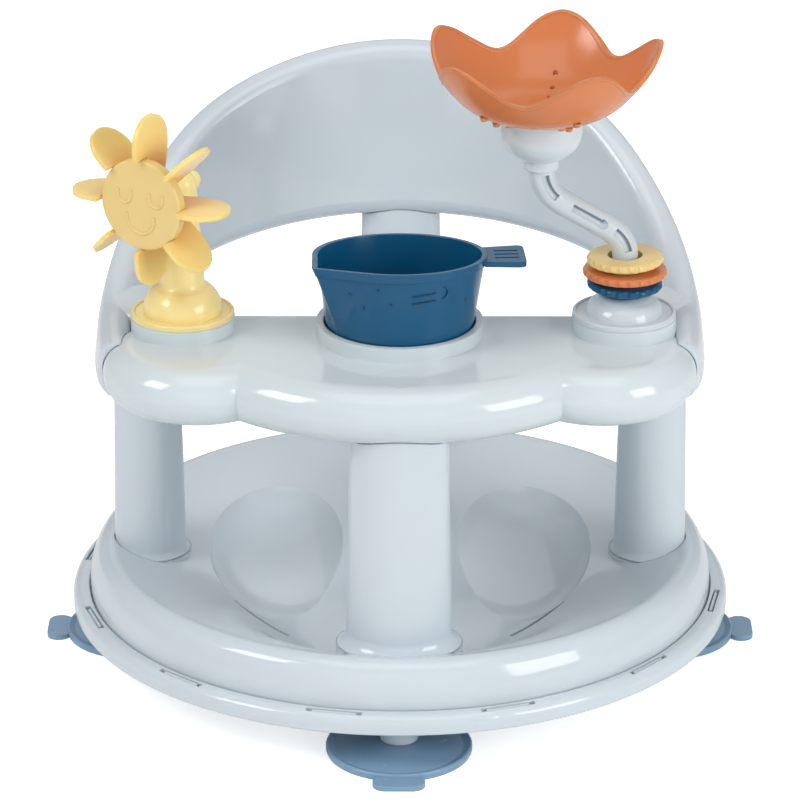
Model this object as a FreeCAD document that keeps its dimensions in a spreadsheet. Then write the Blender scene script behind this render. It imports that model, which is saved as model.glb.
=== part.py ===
import FreeCAD, Part
import Sketcher
import math
import os

# Swivel baby bath seat. Millimetres, Z up, X to the right, the play tray towards -Y.
# The origin is on the floor, under the axis on which the seat turns.

os.makedirs("parts", exist_ok=True)
doc = FreeCAD.newDocument("swivel_bath_seat")
sheet = doc.addObject("Spreadsheet::Sheet", "Sizes")
V = FreeCAD.Vector


class Size:
    """A number together with the text that ties it to the sheet."""

    def __init__(self, value, text):
        self.value = value
        self.text = text

    def join(self, other, sign, result):
        return Size(result, "(%s %s %s)" % (self.text, sign, other.text))

    def __add__(self, other):
        other = as_size(other)
        return self.join(other, "+", self.value + other.value)

    def __sub__(self, other):
        other = as_size(other)
        return self.join(other, "-", self.value - other.value)

    def __mul__(self, other):
        other = as_size(other)
        return self.join(other, "*", self.value * other.value)

    def __truediv__(self, other):
        other = as_size(other)
        return self.join(other, "/", self.value / other.value)

    def __neg__(self):
        return Size(-self.value, "(0 - %s)" % self.text)

    def __radd__(self, other):
        return as_size(other) + self

    def __rsub__(self, other):
        return as_size(other) - self

    def __rmul__(self, other):
        return as_size(other) * self


def as_size(thing):
    if isinstance(thing, Size):
        return thing
    return Size(float(thing), "(%.10g)" % thing)


def cosine(angle):
    angle = as_size(angle)
    return Size(math.cos(math.radians(angle.value)), "cos(%s * 1 deg)" % angle.text)


def sine(angle):
    angle = as_size(angle)
    return Size(math.sin(math.radians(angle.value)), "sin(%s * 1 deg)" % angle.text)


def root(amount):
    return Size(math.sqrt(amount.value), "sqrt(%s)" % amount.text)


ROW = [0]


def size(alias, value):
    """Writes one driving dimension into the sheet and returns it."""
    ROW[0] += 1
    sheet.set("A%d" % ROW[0], alias)
    sheet.set("B%d" % ROW[0], "%.10g" % value)
    sheet.setAlias("B%d" % ROW[0], alias)
    return Size(float(value), "Sizes." + alias)


# Clearances shared by the whole part
fit_gap = size("fit_gap", 0.3)
run_gap = size("run_gap", 0.08)
cut_over = size("cut_over", 2)

# Crest of the seat pan, which the ring, base, posts, tray and backrest follow
crest_radius = size("crest_radius", 163)

# Retaining ring round the seat
ring_band = size("ring_band", 22)
ring_radius = crest_radius + ring_band
ring_bottom = size("ring_bottom", 25)
ring_height = size("ring_height", 10)
ring_skirt_wall = size("ring_skirt_wall", 2.2)
ring_lip_thick = size("ring_lip_thick", 3)
ring_shoulder_radius = size("ring_shoulder_radius", 5)
swivel_gap = size("swivel_gap", 0.8)
slot_count = 12
slot_length = size("slot_length", 30)
slot_width = size("slot_width", 3.2)
slot_land = size("slot_land", 1.6)
slot_phase = size("slot_phase", 18.9)
hook_length = size("hook_length", 24)
hook_thick = size("hook_thick", 1.8)
hook_barb = size("hook_barb", 0.8)

# Base plate and its bosses
plate_bottom = size("plate_bottom", 14)
plate_wall = size("plate_wall", 2.6)
plate_floor_inset = size("plate_floor_inset", 1)
plate_floor_radius = crest_radius - plate_floor_inset
plate_cone_run = size("plate_cone_run", 8)
rib_depth = size("rib_depth", 4)
rib_thick = size("rib_thick", 2)
rib_inset = size("rib_inset", 14)
boss_radius = size("boss_radius", 10.4)
boss_lip = size("boss_lip", 3)
cup_inset = size("cup_inset", 12.6)
cup_orbit = crest_radius - cup_inset
spigot_radius = size("spigot_radius", 10)
spigot_height = size("spigot_height", 3.8)
spigot_bore = size("spigot_bore", 6)

# Suction cups
sucker_radius = size("sucker_radius", 39.5)
sucker_bead = size("sucker_bead", 3.4)
sucker_web = size("sucker_web", 1.8)
sucker_rise = size("sucker_rise", 5)
sucker_stem_radius = size("sucker_stem_radius", 6)
sucker_head_radius = size("sucker_head_radius", 7.4)
sucker_head_thick = size("sucker_head_thick", 1.8)
tab_overhang = size("tab_overhang", 43.6)
tab_reach = cup_orbit + tab_overhang
tab_length = size("tab_length", 28)
tab_width = size("tab_width", 13.5)
tab_thick = size("tab_thick", 2.8)
tab_neck = size("tab_neck", 13)

# Seat pan
crest_height = size("crest_height", 59.5)
roll_radius = size("roll_radius", 9)
flank_radius = size("flank_radius", 30)
flank_angle = size("flank_angle", 32)
bowl_angle = size("bowl_angle", 30)
pan_wall = size("pan_wall", 2.8)
flange_overlap = size("flange_overlap", 1.7)
flange_thick = size("flange_thick", 2.4)
bowl_depth = size("bowl_depth", 33.5)
bowl_shift = size("bowl_shift", 60)
bowl_floor_radius = size("bowl_floor_radius", 48)
hollow_width = size("hollow_width", 47)
hollow_length = size("hollow_length", 84)
hollow_height = size("hollow_height", 26.6)
hollow_lift = size("hollow_lift", 53.2)
hollow_spread = size("hollow_spread", 62.5)
hollow_back = size("hollow_back", 19)
hollow_tilt = size("hollow_tilt", 8.5)
drain_orbit = size("drain_orbit", 60)
drain_back = size("drain_back", 18.5)
drain_forward = size("drain_forward", 8)
drain_start = size("drain_start", -73)
drain_sweep = size("drain_sweep", 35)
drain_width = size("drain_width", 3)
block_top = size("block_top", 52)
hub_radius = size("hub_radius", 14)

# Posts
post_wall = size("post_wall", 2.5)
side_post_inset = size("side_post_inset", 22)
side_post_orbit = crest_radius - side_post_inset
side_post_foot = size("side_post_foot", 20.3)
side_post_neck = size("side_post_neck", 18.2)
front_post_inset = size("front_post_inset", 38)
front_post_orbit = crest_radius - front_post_inset
front_post_foot = size("front_post_foot", 28.8)
front_post_neck = size("front_post_neck", 26)
front_post_foot_depth = size("front_post_foot_depth", 22)
front_post_neck_depth = size("front_post_neck_depth", 20)
back_post_inset = size("back_post_inset", 22)
back_post_orbit = crest_radius - back_post_inset
back_post_lean = size("back_post_lean", 18)
back_post_foot = size("back_post_foot", 26)
back_post_neck = size("back_post_neck", 22.6)
back_post_foot_depth = size("back_post_foot_depth", 16)
back_post_neck_depth = size("back_post_neck_depth", 8.5)
back_peg_radius = size("back_peg_radius", 6)
back_peg_height = size("back_peg_height", 16)
flare_height = size("flare_height", 5)
flare_reach = size("flare_reach", 2.6)
front_flare_height = size("front_flare_height", 8)
front_flare_reach = size("front_flare_reach", 5.5)
core_radius = size("core_radius", 5.5)
screw_shank = size("screw_shank", 1.9)
screw_head = size("screw_head", 4)
screw_head_thick = size("screw_head_thick", 2.4)
screw_length = size("screw_length", 16)
peg_radius = size("peg_radius", 9)
peg_height = size("peg_height", 14)

# Play tray
tray_bottom = size("tray_bottom", 172)
tray_height = size("tray_height", 32)
tray_wall = size("tray_wall", 2.6)
lobe_margin = size("lobe_margin", 12)
lobe_radius = front_post_orbit + lobe_margin
lobe_centre = size("lobe_centre", 13)
wing_radius = size("wing_radius", 52)
wing_inset = size("wing_inset", 55)
wing_spread = crest_radius - wing_inset
wing_forward = size("wing_forward", 72)
tray_rear = size("tray_rear", 18)
collar_height = size("collar_height", 8)
cup_forward = size("cup_forward", 57)
cup_hole = size("cup_hole", 41.2)
cup_taper = size("cup_taper", 9)
collar_rim = size("collar_rim", 4)
recess_depth = size("recess_depth", 30)
sun_inset = size("sun_inset", 45.5)
flower_inset = size("flower_inset", 41.5)
sun_spread = crest_radius - sun_inset
flower_spread = crest_radius - flower_inset
toy_forward = size("toy_forward", 50)
toy_collar = size("toy_collar", 28.2)
toy_peg = size("toy_peg", 8)
toy_peg_length = size("toy_peg_length", 14)
tongue_width = size("tongue_width", 12)
tongue_inset = size("tongue_inset", 41)
tongue_spread = crest_radius - tongue_inset
tongue_back = size("tongue_back", 6)
tongue_thick = size("tongue_thick", 14)
rear_margin = size("rear_margin", 15)
rear_half_width = wing_spread - rear_margin
pillar_spread = size("pillar_spread", 58)
pillar_forward = size("pillar_forward", 98)
pillar_radius = size("pillar_radius", 4.5)
cover_head = size("cover_head", 3.6)
cover_head_thick = size("cover_head_thick", 2)
cover_screw_length = size("cover_screw_length", 12)
cover_inset = size("cover_inset", 20)
cover_thick = size("cover_thick", 2.4)

# Backrest
rest_offset = size("rest_offset", 16.5)
rest_radius = side_post_orbit + rest_offset
rest_thick = size("rest_thick", 21)
rest_edge_thick = size("rest_edge_thick", 18)
rest_top = size("rest_top", 302)
arm_toe_in = size("arm_toe_in", 4.5)
rest_lean = size("rest_lean", 3)
rest_back_bottom = size("rest_back_bottom", 198)
arm_length = size("arm_length", 72)
shoulder_radius = size("shoulder_radius", 25)
shoulder_round = size("shoulder_round", 8.5)

# Feet of the two toys
toy_flange = size("toy_flange", 28)
toy_flange_thick = size("toy_flange_thick", 2.2)
toy_dome = size("toy_dome", 21.2)

# Sun mill
sun_dome_rise = size("sun_dome_rise", 14)
sun_stem = size("sun_stem", 12.2)
sun_stem_neck = size("sun_stem_neck", 8.6)
sun_fillet = size("sun_fillet", 4)
sun_axle_height = size("sun_axle_height", 286)
sun_yaw = size("sun_yaw", 31)
sun_axle = size("sun_axle", 3)
sun_pad = size("sun_pad", 6)
wheel_start = size("wheel_start", 12.8)
wheel_length = size("wheel_length", 30)
hub_length = size("hub_length", 19.2)
wheel_hub = size("wheel_hub", 9)
blade_count = 8
blade_reach = size("blade_reach", 47.5)
blade_thick = size("blade_thick", 2.5)
blade_root = size("blade_root", 15)
face_radius = size("face_radius", 25)
face_thick = size("face_thick", 6)
face_round = size("face_round", 1.2)
face_line = size("face_line", 0.9)
eye_radius = size("eye_radius", 4.2)
eye_spread = size("eye_spread", 10)
eye_height = size("eye_height", 4.5)
eye_rise = size("eye_rise", 3.4)
smile_rise = size("smile_rise", 2)
smile_radius = size("smile_radius", 8.6)
smile_drop = size("smile_drop", 7.2)
axle_head = size("axle_head", 4.6)
axle_head_thick = size("axle_head_thick", 1.4)
knob_radius = size("knob_radius", 4.6)
knob_length = size("knob_length", 3.6)

# Pouring cup
cup_height = size("cup_height", 67.2)
cup_foot = size("cup_foot", 35.6)
cup_wall = size("cup_wall", 1.9)
cup_band = size("cup_band", 0.8)
cup_band_height = size("cup_band_height", 5)
spout_start = size("spout_start", 34)
spout_reach = size("spout_reach", 9)
spout_tip = size("spout_tip", 3.6)
rim_slant = size("rim_slant", 6)
spout_heading = size("spout_heading", 215)
handle_heading = size("handle_heading", 4)
handle_length = size("handle_length", 20.5)
handle_root = size("handle_root", 23)
handle_end = size("handle_end", 27)
handle_thick = size("handle_thick", 3)
handle_drop = size("handle_drop", 1.4)
handle_corner = size("handle_corner", 3.5)
groove_length = size("groove_length", 13)
groove_width = size("groove_width", 1.6)
groove_pitch = size("groove_pitch", 5.4)

# Flower shower
flower_dome_rise = size("flower_dome_rise", 11)
arm_radius = size("arm_radius", 7)
arm_socket = size("arm_socket", 12)
arm_rise = size("arm_rise", 21)
arm_low_bend = size("arm_low_bend", 18)
arm_high_bend = size("arm_high_bend", 22.6)
arm_turn = size("arm_turn", 60)
arm_run = size("arm_run", 29.7)
arm_tip = size("arm_tip", 5)
slot_radius = size("slot_radius", 2.1)
slot_end_radius = size("slot_end_radius", 2.7)
slot_offset = size("slot_offset", 2.2)
holder_radius = size("holder_radius", 21.8)
holder_wall = size("holder_wall", 2.2)
holder_boss = size("holder_boss", 9.4)
holder_bowl = size("holder_bowl", 16.5)
holder_rise = size("holder_rise", 24)
holder_socket = size("holder_socket", 5)
pin_radius = size("pin_radius", 4.5)
pin_shoulder = size("pin_shoulder", 7)
pin_height = size("pin_height", 14)
play_ring_bore = size("play_ring_bore", 9.4)
play_ring_hub = size("play_ring_hub", 13)
play_ring_thick = size("play_ring_thick", 4.1)
play_ring_pitch = size("play_ring_pitch", 7.2)
scallop_radius = size("scallop_radius", 2)
yellow_radius = size("yellow_radius", 20.8)
orange_radius = size("orange_radius", 22.8)
blue_radius = size("blue_radius", 20.4)
dish_floor = size("dish_floor", 20)
dish_wall = size("dish_wall", 2.2)
dish_low_curve = size("dish_low_curve", 36)
dish_low_angle = size("dish_low_angle", 46)
dish_high_curve = size("dish_high_curve", 90)
dish_high_angle = size("dish_high_angle", 28)
dish_waist = size("dish_waist", 30.5)
dish_hub = size("dish_hub", 8.6)
dish_gap = size("dish_gap", 0.6)
petal_count = 5
petal_wave = size("petal_wave", 9)
petal_phase = size("petal_phase", 6.3)
drop_hole = size("drop_hole", 1.4)
drop_nozzle = size("drop_nozzle", 2.3)
drop_first = size("drop_first", 24)
drop_pitch = size("drop_pitch", 9)
doc.recompute()

PIECES = []

# How a post's flared foot narrows as it rises
flare_rises = (0, 0.25, 0.6, 1)
flare_shares = (1, 0.45, 0.1, 0)

# How far the backrest's upper edge has risen at equal turns from the side to the back
rest_rise_shares = (0, 0.165, 0.435, 0.7, 0.865, 0.965, 1)

# Which way an arc bulges in an outline that runs anticlockwise
OUTWARD = -1
INWARD = 1


def bind(item, prop, amount):
    item.setExpression(prop, as_size(amount).text)


def put(item, at=(0, 0, 0), axis=None, angle=None):
    """Ties an object's place, and its turn about an axis, to the sheet."""
    if axis:
        item.Placement = FreeCAD.Placement(V(0, 0, 0), FreeCAD.Rotation(V(*axis), as_size(angle).value))
        bind(item, "Placement.Rotation.Angle", angle)
    for letter, amount in zip("xyz", at):
        bind(item, "Placement.Base." + letter, amount)
    return item


def aim(item, at, yaw, pitch, roll):
    """Places an object with three turns, about Z, then Y, then X, all tied to the sheet."""
    place = [as_size(amount) for amount in at]
    turns = [as_size(amount) for amount in (yaw, pitch, roll)]
    item.Placement = FreeCAD.Placement(V(*[p.value for p in place]), FreeCAD.Rotation(*[t.value for t in turns]))
    spot = "create(<<vector>>; %s; %s; %s)" % tuple(p.text for p in place)
    turn = "create(<<rotation>>; %s; %s; %s)" % tuple(t.text for t in turns)
    item.setExpression("Placement", "create(<<placement>>; %s; %s)" % (spot, turn))
    return item


def part(kind, name, at=(0, 0, 0), axis=None, angle=None, **sizes):
    item = doc.addObject(kind, name)
    for prop, amount in sizes.items():
        bind(item, prop, amount)
    return put(item, at, axis, angle)


def cylinder(name, radius, height, at, axis=None, angle=None):
    return part("Part::Cylinder", name, at, axis, angle, Radius=radius, Height=height)


def box(name, length, width, height, at, axis=None, angle=None):
    return part("Part::Box", name, at, axis, angle, Length=length, Width=width, Height=height)


def fuse(name, shapes):
    item = doc.addObject("Part::MultiFuse", name)
    item.Shapes = shapes
    item.Refine = False
    return item


def cut(name, base, tools):
    item = doc.addObject("Part::Cut", name)
    item.Base = base
    item.Tool = tools[0] if len(tools) == 1 else fuse(name + "_tools", tools)
    item.Refine = False
    return item


def common(name, base, tool):
    item = doc.addObject("Part::Common", name)
    item.Base = base
    item.Tool = tool
    item.Refine = False
    return item


def body(name):
    return doc.addObject("PartDesign::Body", name)


def sketch(owner, name, plane, lift=0):
    item = owner.newObject("Sketcher::SketchObject", name)
    for feature in owner.Origin.OriginFeatures:
        if feature.Role == plane:
            item.AttachmentSupport = [(feature, "")]
    item.MapMode = "FlatFace"
    bind(item, "AttachmentOffset.Base.z", lift)
    return item


def pin_point(item, edge, end, point):
    """Holds one end of an edge at sizes measured from the sketch's origin."""
    for way, amount in zip(("DistanceX", "DistanceY"), point[:2]):
        amount = as_size(amount)
        number = item.addConstraint(Sketcher.Constraint(way, -1, 1, edge, end, amount.value))
        bind(item, "Constraints[%d]" % number, amount)


def outline(item, points, closed=True):
    """Draws an outline: each point is (x, y), or (x, y, radius, turn) for an arc that ends there."""
    places = [V(as_size(point[0]).value, as_size(point[1]).value, 0) for point in points]
    first = 0 if closed else 1
    edges = []
    for index in range(first, len(points)):
        point = points[index]
        start = places[index - 1]
        end = places[index]
        if len(point) == 2:
            edges.append((item.addGeometry(Part.LineSegment(start, end), False), 1, 2))
            continue
        radius = as_size(point[2])
        chord = end - start
        back = math.sqrt(max(radius.value ** 2 - (chord.Length / 2) ** 2, 0))
        centre = (start + end) * 0.5 - V(-chord.y, chord.x, 0).normalize() * back * point[3]
        swapped = point[3] == INWARD
        angles = [math.atan2(place.y - centre.y, place.x - centre.x) for place in (start, end)]
        low, high = reversed(angles) if swapped else angles
        circle = Part.Circle(centre, V(0, 0, 1), radius.value)
        edge = item.addGeometry(Part.ArcOfCircle(circle, low, high + (2 * math.pi if high < low else 0)), False)
        edges.append((edge, 2, 1) if swapped else (edge, 1, 2))
        number = item.addConstraint(Sketcher.Constraint("Radius", edge, radius.value))
        bind(item, "Constraints[%d]" % number, radius)
    for index, (edge, begin, finish_end) in enumerate(edges):
        if closed or index + 1 < len(edges):
            after = edges[(index + 1) % len(edges)]
            item.addConstraint(Sketcher.Constraint("Coincident", edge, finish_end, after[0], after[1]))
        pin_point(item, edge, finish_end, points[first + index])
    if not closed:
        pin_point(item, edges[0][0], edges[0][1], points[0])


def disc(item, radius, centre=(0, 0)):
    """Draws a circle in a sketch."""
    middle = V(as_size(centre[0]).value, as_size(centre[1]).value, 0)
    edge = item.addGeometry(Part.Circle(middle, V(0, 0, 1), as_size(radius).value), False)
    number = item.addConstraint(Sketcher.Constraint("Radius", edge, as_size(radius).value))
    bind(item, "Constraints[%d]" % number, radius)
    pin_point(item, edge, 3, centre)


def turned(name, points):
    """A body turned about its own Z axis from a profile in radius and height."""
    owner = body(name)
    profile = sketch(owner, name + "_profile", "XZ_Plane")
    outline(profile, points)
    feature = owner.newObject("PartDesign::Revolution", name + "_turn")
    feature.Profile = profile
    feature.ReferenceAxis = (profile, ["V_Axis"])
    feature.Angle = 360
    owner.Tip = feature
    return owner


def revolved(name, points):
    """A plain solid turned about Z, for a profile whose curves have far centres."""
    profile = doc.addObject("Sketcher::SketchObject", name + "_profile")
    profile.Placement = FreeCAD.Placement(V(0, 0, 0), FreeCAD.Rotation(V(1, 0, 0), 90))
    outline(profile, points)
    item = doc.addObject("Part::Revolution", name)
    item.Source = profile
    item.Axis = V(0, 0, 1)
    item.Base = V(0, 0, 0)
    item.Angle = 360
    item.Solid = True
    return item


def pad(owner, name, profile, length, both_ways=False):
    feature = owner.newObject("PartDesign::Pad", name)
    feature.Profile = profile
    bind(feature, "Length", length)
    feature.Midplane = both_ways
    owner.Tip = feature
    return feature


def pocket(owner, name, profile, length, both_ways=True):
    feature = owner.newObject("PartDesign::Pocket", name)
    feature.Profile = profile
    bind(feature, "Length", length)
    feature.Midplane = both_ways
    owner.Tip = feature
    return feature


def spread_round(owner, name, feature, count):
    pattern = owner.newObject("PartDesign::PolarPattern", name)
    pattern.Originals = [feature]
    pattern.Axis = ([f for f in owner.Origin.OriginFeatures if f.Role == "Z_Axis"][0], [""])
    pattern.Angle = 360
    pattern.Occurrences = count
    owner.Tip = pattern
    return pattern


def finish(item, label):
    """Marks an object as one finished piece."""
    item.Label = label
    PIECES.append(item)
    return item


def made(name, shape, at=(0, 0, 0)):
    """A piece whose shape comes from formulas, placed after it is made."""
    item = doc.addObject("Part::Feature", name)
    item.Shape = shape
    item.Placement = FreeCAD.Placement(V(*[as_size(amount).value for amount in at]), FreeCAD.Rotation())
    return item



# Heights and radii that several pieces share
ring_top = ring_bottom + ring_height
dome_radius = crest_radius + (roll_radius - flank_radius) * cosine(flank_angle) + flank_radius
lip_radius = dome_radius + swivel_gap
flange_radius = lip_radius + flange_overlap
flange_top = ring_top - ring_lip_thick - fit_gap
flange_bottom = flange_top - flange_thick
track_top = flange_bottom - fit_gap
slot_inner = lip_radius + slot_land
plate_top = plate_bottom + plate_wall
tray_top = tray_bottom + tray_height
collar_top = tray_top + collar_height
tray_nose = tray_height / 2
post_bottom = block_top + fit_gap
back_post_top = rest_back_bottom + rest_thick / 2


def retaining_ring():
    skirt_inner = ring_radius - ring_skirt_wall
    lip_under = ring_top - ring_lip_thick
    owner = turned("retaining_ring", [
        (lip_radius, lip_under),
        (skirt_inner, lip_under),
        (skirt_inner, ring_bottom),
        (ring_radius, ring_bottom),
        (ring_radius, ring_top - ring_shoulder_radius),
        (ring_radius - ring_shoulder_radius, ring_top, ring_shoulder_radius, OUTWARD),
        (lip_radius, ring_top),
    ])
    slot = sketch(owner, "slot_outline", "XY_Plane", ring_top)
    half = slot_length / 2
    outline(slot, [
        (slot_inner, -half),
        (slot_inner + slot_width, -half),
        (slot_inner + slot_width, half),
        (slot_inner, half),
    ])
    slots = pocket(owner, "slot", slot, ring_lip_thick * 4)
    spread_round(owner, "slots", slots, slot_count)
    put(owner, (0, 0, 0), (0, 0, 1), slot_phase)
    finish(owner, "retaining_ring")


def base_plate():
    outer = ring_radius - ring_skirt_wall - fit_gap
    cone_foot = plate_floor_radius
    cone_head = plate_floor_radius + plate_cone_run
    owner = turned("base_shell", [
        (spigot_bore, plate_bottom),
        (cone_foot, plate_bottom),
        (cone_head, track_top - plate_wall),
        (outer, track_top - plate_wall),
        (outer, track_top),
        (cone_head - plate_wall / 2, track_top),
        (cone_foot - plate_wall / 2, plate_top),
        (spigot_radius, plate_top),
        (spigot_radius, plate_top + spigot_height),
        (spigot_bore, plate_top + spigot_height),
    ])
    hook_foot = slot_inner + slot_width / 2 - hook_thick / 2
    barb_top = ring_top - hook_barb / 2
    hook = sketch(owner, "hook_outline", "XZ_Plane")
    outline(hook, [
        (hook_foot, track_top - plate_wall / 2),
        (hook_foot + hook_thick, track_top - plate_wall / 2),
        (hook_foot + hook_thick, barb_top - hook_barb),
        (hook_foot + hook_thick / 2, barb_top),
        (hook_foot, barb_top),
    ])
    hooks = pad(owner, "hook", hook, hook_length, True)
    spread_round(owner, "hooks", hooks, slot_count)
    put(owner, (0, 0, 0), (0, 0, 1), slot_phase)

    added = [owner]
    taken = []
    rib_bottom = plate_bottom - rib_depth
    rib_length = plate_floor_radius - spigot_radius - rib_inset
    for index in range(8):
        angle = 22.5 + 45 * index
        rib = box("rib_%d" % index, rib_length, rib_thick, rib_depth + plate_wall / 2,
                  (spigot_radius * cosine(angle) + rib_thick / 2 * sine(angle),
                   spigot_radius * sine(angle) - rib_thick / 2 * cosine(angle), rib_bottom),
                  (0, 0, 1), angle)
        added.append(rib)
    hoop = cylinder("hoop_outer", plate_floor_radius / 2, rib_depth + plate_wall / 2, (0, 0, rib_bottom))
    hollow = cylinder("hoop_inner", plate_floor_radius / 2 - rib_thick, rib_depth + plate_wall,
                      (0, 0, rib_bottom - plate_wall / 4))
    added.append(cut("hoop", hoop, [hollow]))
    boss_bottom = sucker_neck_top()
    well_bottom = boss_bottom + boss_lip
    for index in range(4):
        angle = 90 * index
        spot = (cup_orbit * cosine(angle), cup_orbit * sine(angle))
        added.append(cylinder("boss_%d" % index, boss_radius, plate_top - boss_bottom, spot + (boss_bottom,)))
        taken.append(cylinder("boss_bore_%d" % index, sucker_stem_radius + fit_gap, boss_lip + cut_over,
                              spot + (boss_bottom - cut_over / 2,)))
        taken.append(cylinder("boss_well_%d" % index, sucker_head_radius + fit_gap,
                              sucker_head_thick + fit_gap * 3, spot + (well_bottom,)))
    finish(cut("base_plate_solid", fuse("base_sum", added), taken), "base_plate")


def sucker_neck_top():
    """Height at which the cup's neck meets the base's boss."""
    return sucker_rise + sucker_web + fit_gap


def suction_cup(name, angle):
    bead_inner = sucker_radius - sucker_bead
    neck_top = sucker_rise + sucker_web
    head_bottom = sucker_neck_top() + boss_lip + fit_gap
    neck = sucker_stem_radius * 1.6
    owner = turned(name + "_body", [
        (0, sucker_rise),
        (neck, sucker_rise),
        (bead_inner, sucker_bead * 0.3),
        (bead_inner + sucker_bead * 0.6, 0),
        (sucker_radius - sucker_bead * 0.15, 0),
        (sucker_radius, sucker_bead * 0.35),
        (sucker_radius, sucker_bead * 0.8),
        (sucker_radius - sucker_bead * 0.35, sucker_bead * 1.2, sucker_bead * 0.4, OUTWARD),
        (bead_inner, sucker_bead * 0.95),
        (bead_inner - sucker_bead * 0.4, sucker_bead * 0.3 + sucker_web),
        (neck, neck_top),
        (sucker_stem_radius, neck_top),
        (sucker_stem_radius, head_bottom),
        (sucker_head_radius, head_bottom),
        (sucker_stem_radius, head_bottom + sucker_head_thick),
        (0, head_bottom + sucker_head_thick),
    ])
    tab = sketch(owner, name + "_tab", "XY_Plane")
    reach = tab_reach - cup_orbit
    half = tab_neck / 2
    pill = tab_width / 2
    side = tab_length / 2 - pill
    start = sucker_radius - sucker_bead
    outline(tab, [
        (start, half),
        (start, -half),
        (reach - pill, -half * 0.85),
        (reach - pill, -side),
        (reach, -side - pill, pill, OUTWARD),
        (reach + pill, -side, pill, OUTWARD),
        (reach + pill, side),
        (reach, side + pill, pill, OUTWARD),
        (reach - pill, side, pill, OUTWARD),
        (reach - pill, half * 0.85),
    ])
    pad(owner, name + "_tab_pad", tab, tab_thick)
    put(owner, (cup_orbit * cosine(angle), cup_orbit * sine(angle), 0), (0, 0, 1), angle)
    finish(owner, name)


def bowl_sections(thick):
    """Circles of the bowl, from the rim down, as height, radius and forward shift."""
    rim_radius = crest_radius - roll_radius * sine(bowl_angle)
    rim_height = crest_height - roll_radius * (1 - cosine(bowl_angle))
    depth_shares = (0, 0.12, 0.3, 0.68, 1)
    radius_shares = (0, 0.13, 0.37, 0.68, 1)
    shift_shares = (0, 0.08, 0.3, 0.65, 1)
    out_shares = (sine(bowl_angle), 0.35, 0.33, 0.3, 0.2)
    down_shares = (cosine(bowl_angle), 0.93, 0.94, 0.95, 1)
    rows = []
    for depth, narrow, shift, out, down in zip(depth_shares, radius_shares, shift_shares, out_shares, down_shares):
        radius = rim_radius - (rim_radius - bowl_floor_radius) * narrow + thick * out
        height = rim_height - bowl_depth * depth - thick * down
        rows.append((height, radius, -bowl_shift * shift))
    return rows


def bowl_tool(name, thick):
    rings = []
    rows = bowl_sections(thick)
    for index, (height, radius, forward) in enumerate(rows):
        rings.append(part("Part::Circle", "%s_ring_%d" % (name, index), (0, forward, height), Radius=radius))
    loft = doc.addObject("Part::Loft", name + "_loft")
    loft.Sections = rings
    loft.Solid = True
    loft.Ruled = False
    height, radius, forward = rows[0]
    lid = part("Part::Cone", name + "_lid", (0, 0, height), Radius1=radius,
               Radius2=radius + crest_height * 0.8, Height=crest_height)
    return fuse(name, [loft, lid])


def dome(name, thick, bottom, step):
    """The pan's outer form, turned: the flank, the rolled crest and the inner roll."""
    roll = roll_radius - thick
    roll_z = crest_height - roll_radius
    joint = (crest_radius + roll * cosine(flank_angle), roll_z + roll * sine(flank_angle))
    flank_z = roll_z + (roll_radius - flank_radius) * sine(flank_angle)
    inner = (crest_radius - roll * sine(bowl_angle), roll_z + roll * cosine(bowl_angle))
    return turned(name, [
        (0, bottom),
        (step, bottom),
        (step, flange_bottom),
        (dome_radius - thick, flange_bottom),
        (dome_radius - thick, flank_z),
        joint + (flank_radius - thick, OUTWARD),
        inner + (roll, OUTWARD),
        (0, inner[1]),
    ])


POSTS = (
    ("right_post", 0, side_post_orbit, 0 * back_post_lean, side_post_foot, side_post_foot,
     flare_reach, flare_height),
    ("back_post", 90, back_post_orbit, back_post_lean, back_post_foot, back_post_foot_depth,
     flare_reach, flare_height),
    ("left_post", 180, side_post_orbit, 0 * back_post_lean, side_post_foot, side_post_foot,
     flare_reach, flare_height),
    ("front_post", 270, front_post_orbit, 0 * back_post_lean, front_post_foot, front_post_foot_depth,
     front_flare_reach, front_flare_height),
)


def oval_stack(name, row, levels, leaning=False):
    """Ovals of one post's foot, joined level by level: each level is a height and how far it is grown."""
    label, angle, orbit, lean, across, along, reach, rise = row
    ovals = []
    for index, (height, grow) in enumerate(levels):
        far = orbit + lean * (height - post_bottom) / (back_post_top - post_bottom) if leaning else orbit
        place = (far * cosine(angle), far * sine(angle), height)
        ovals.append(oval("%s_%d" % (name, index), across + grow, along + grow, place, angle - 90))
    return loft(name, ovals, True)


def foot_pocket(row):
    """Room in the pan's crest for a post's flared foot."""
    reach, rise = row[6:]
    levels = [(block_top, reach + fit_gap)]
    for high, wide in zip(flare_rises, flare_shares):
        levels.append((post_bottom + rise * high, reach * wide + fit_gap))
    return oval_stack(row[0] + "_pocket", row, levels + [(crest_height + rise + cut_over, fit_gap)], True)


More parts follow.
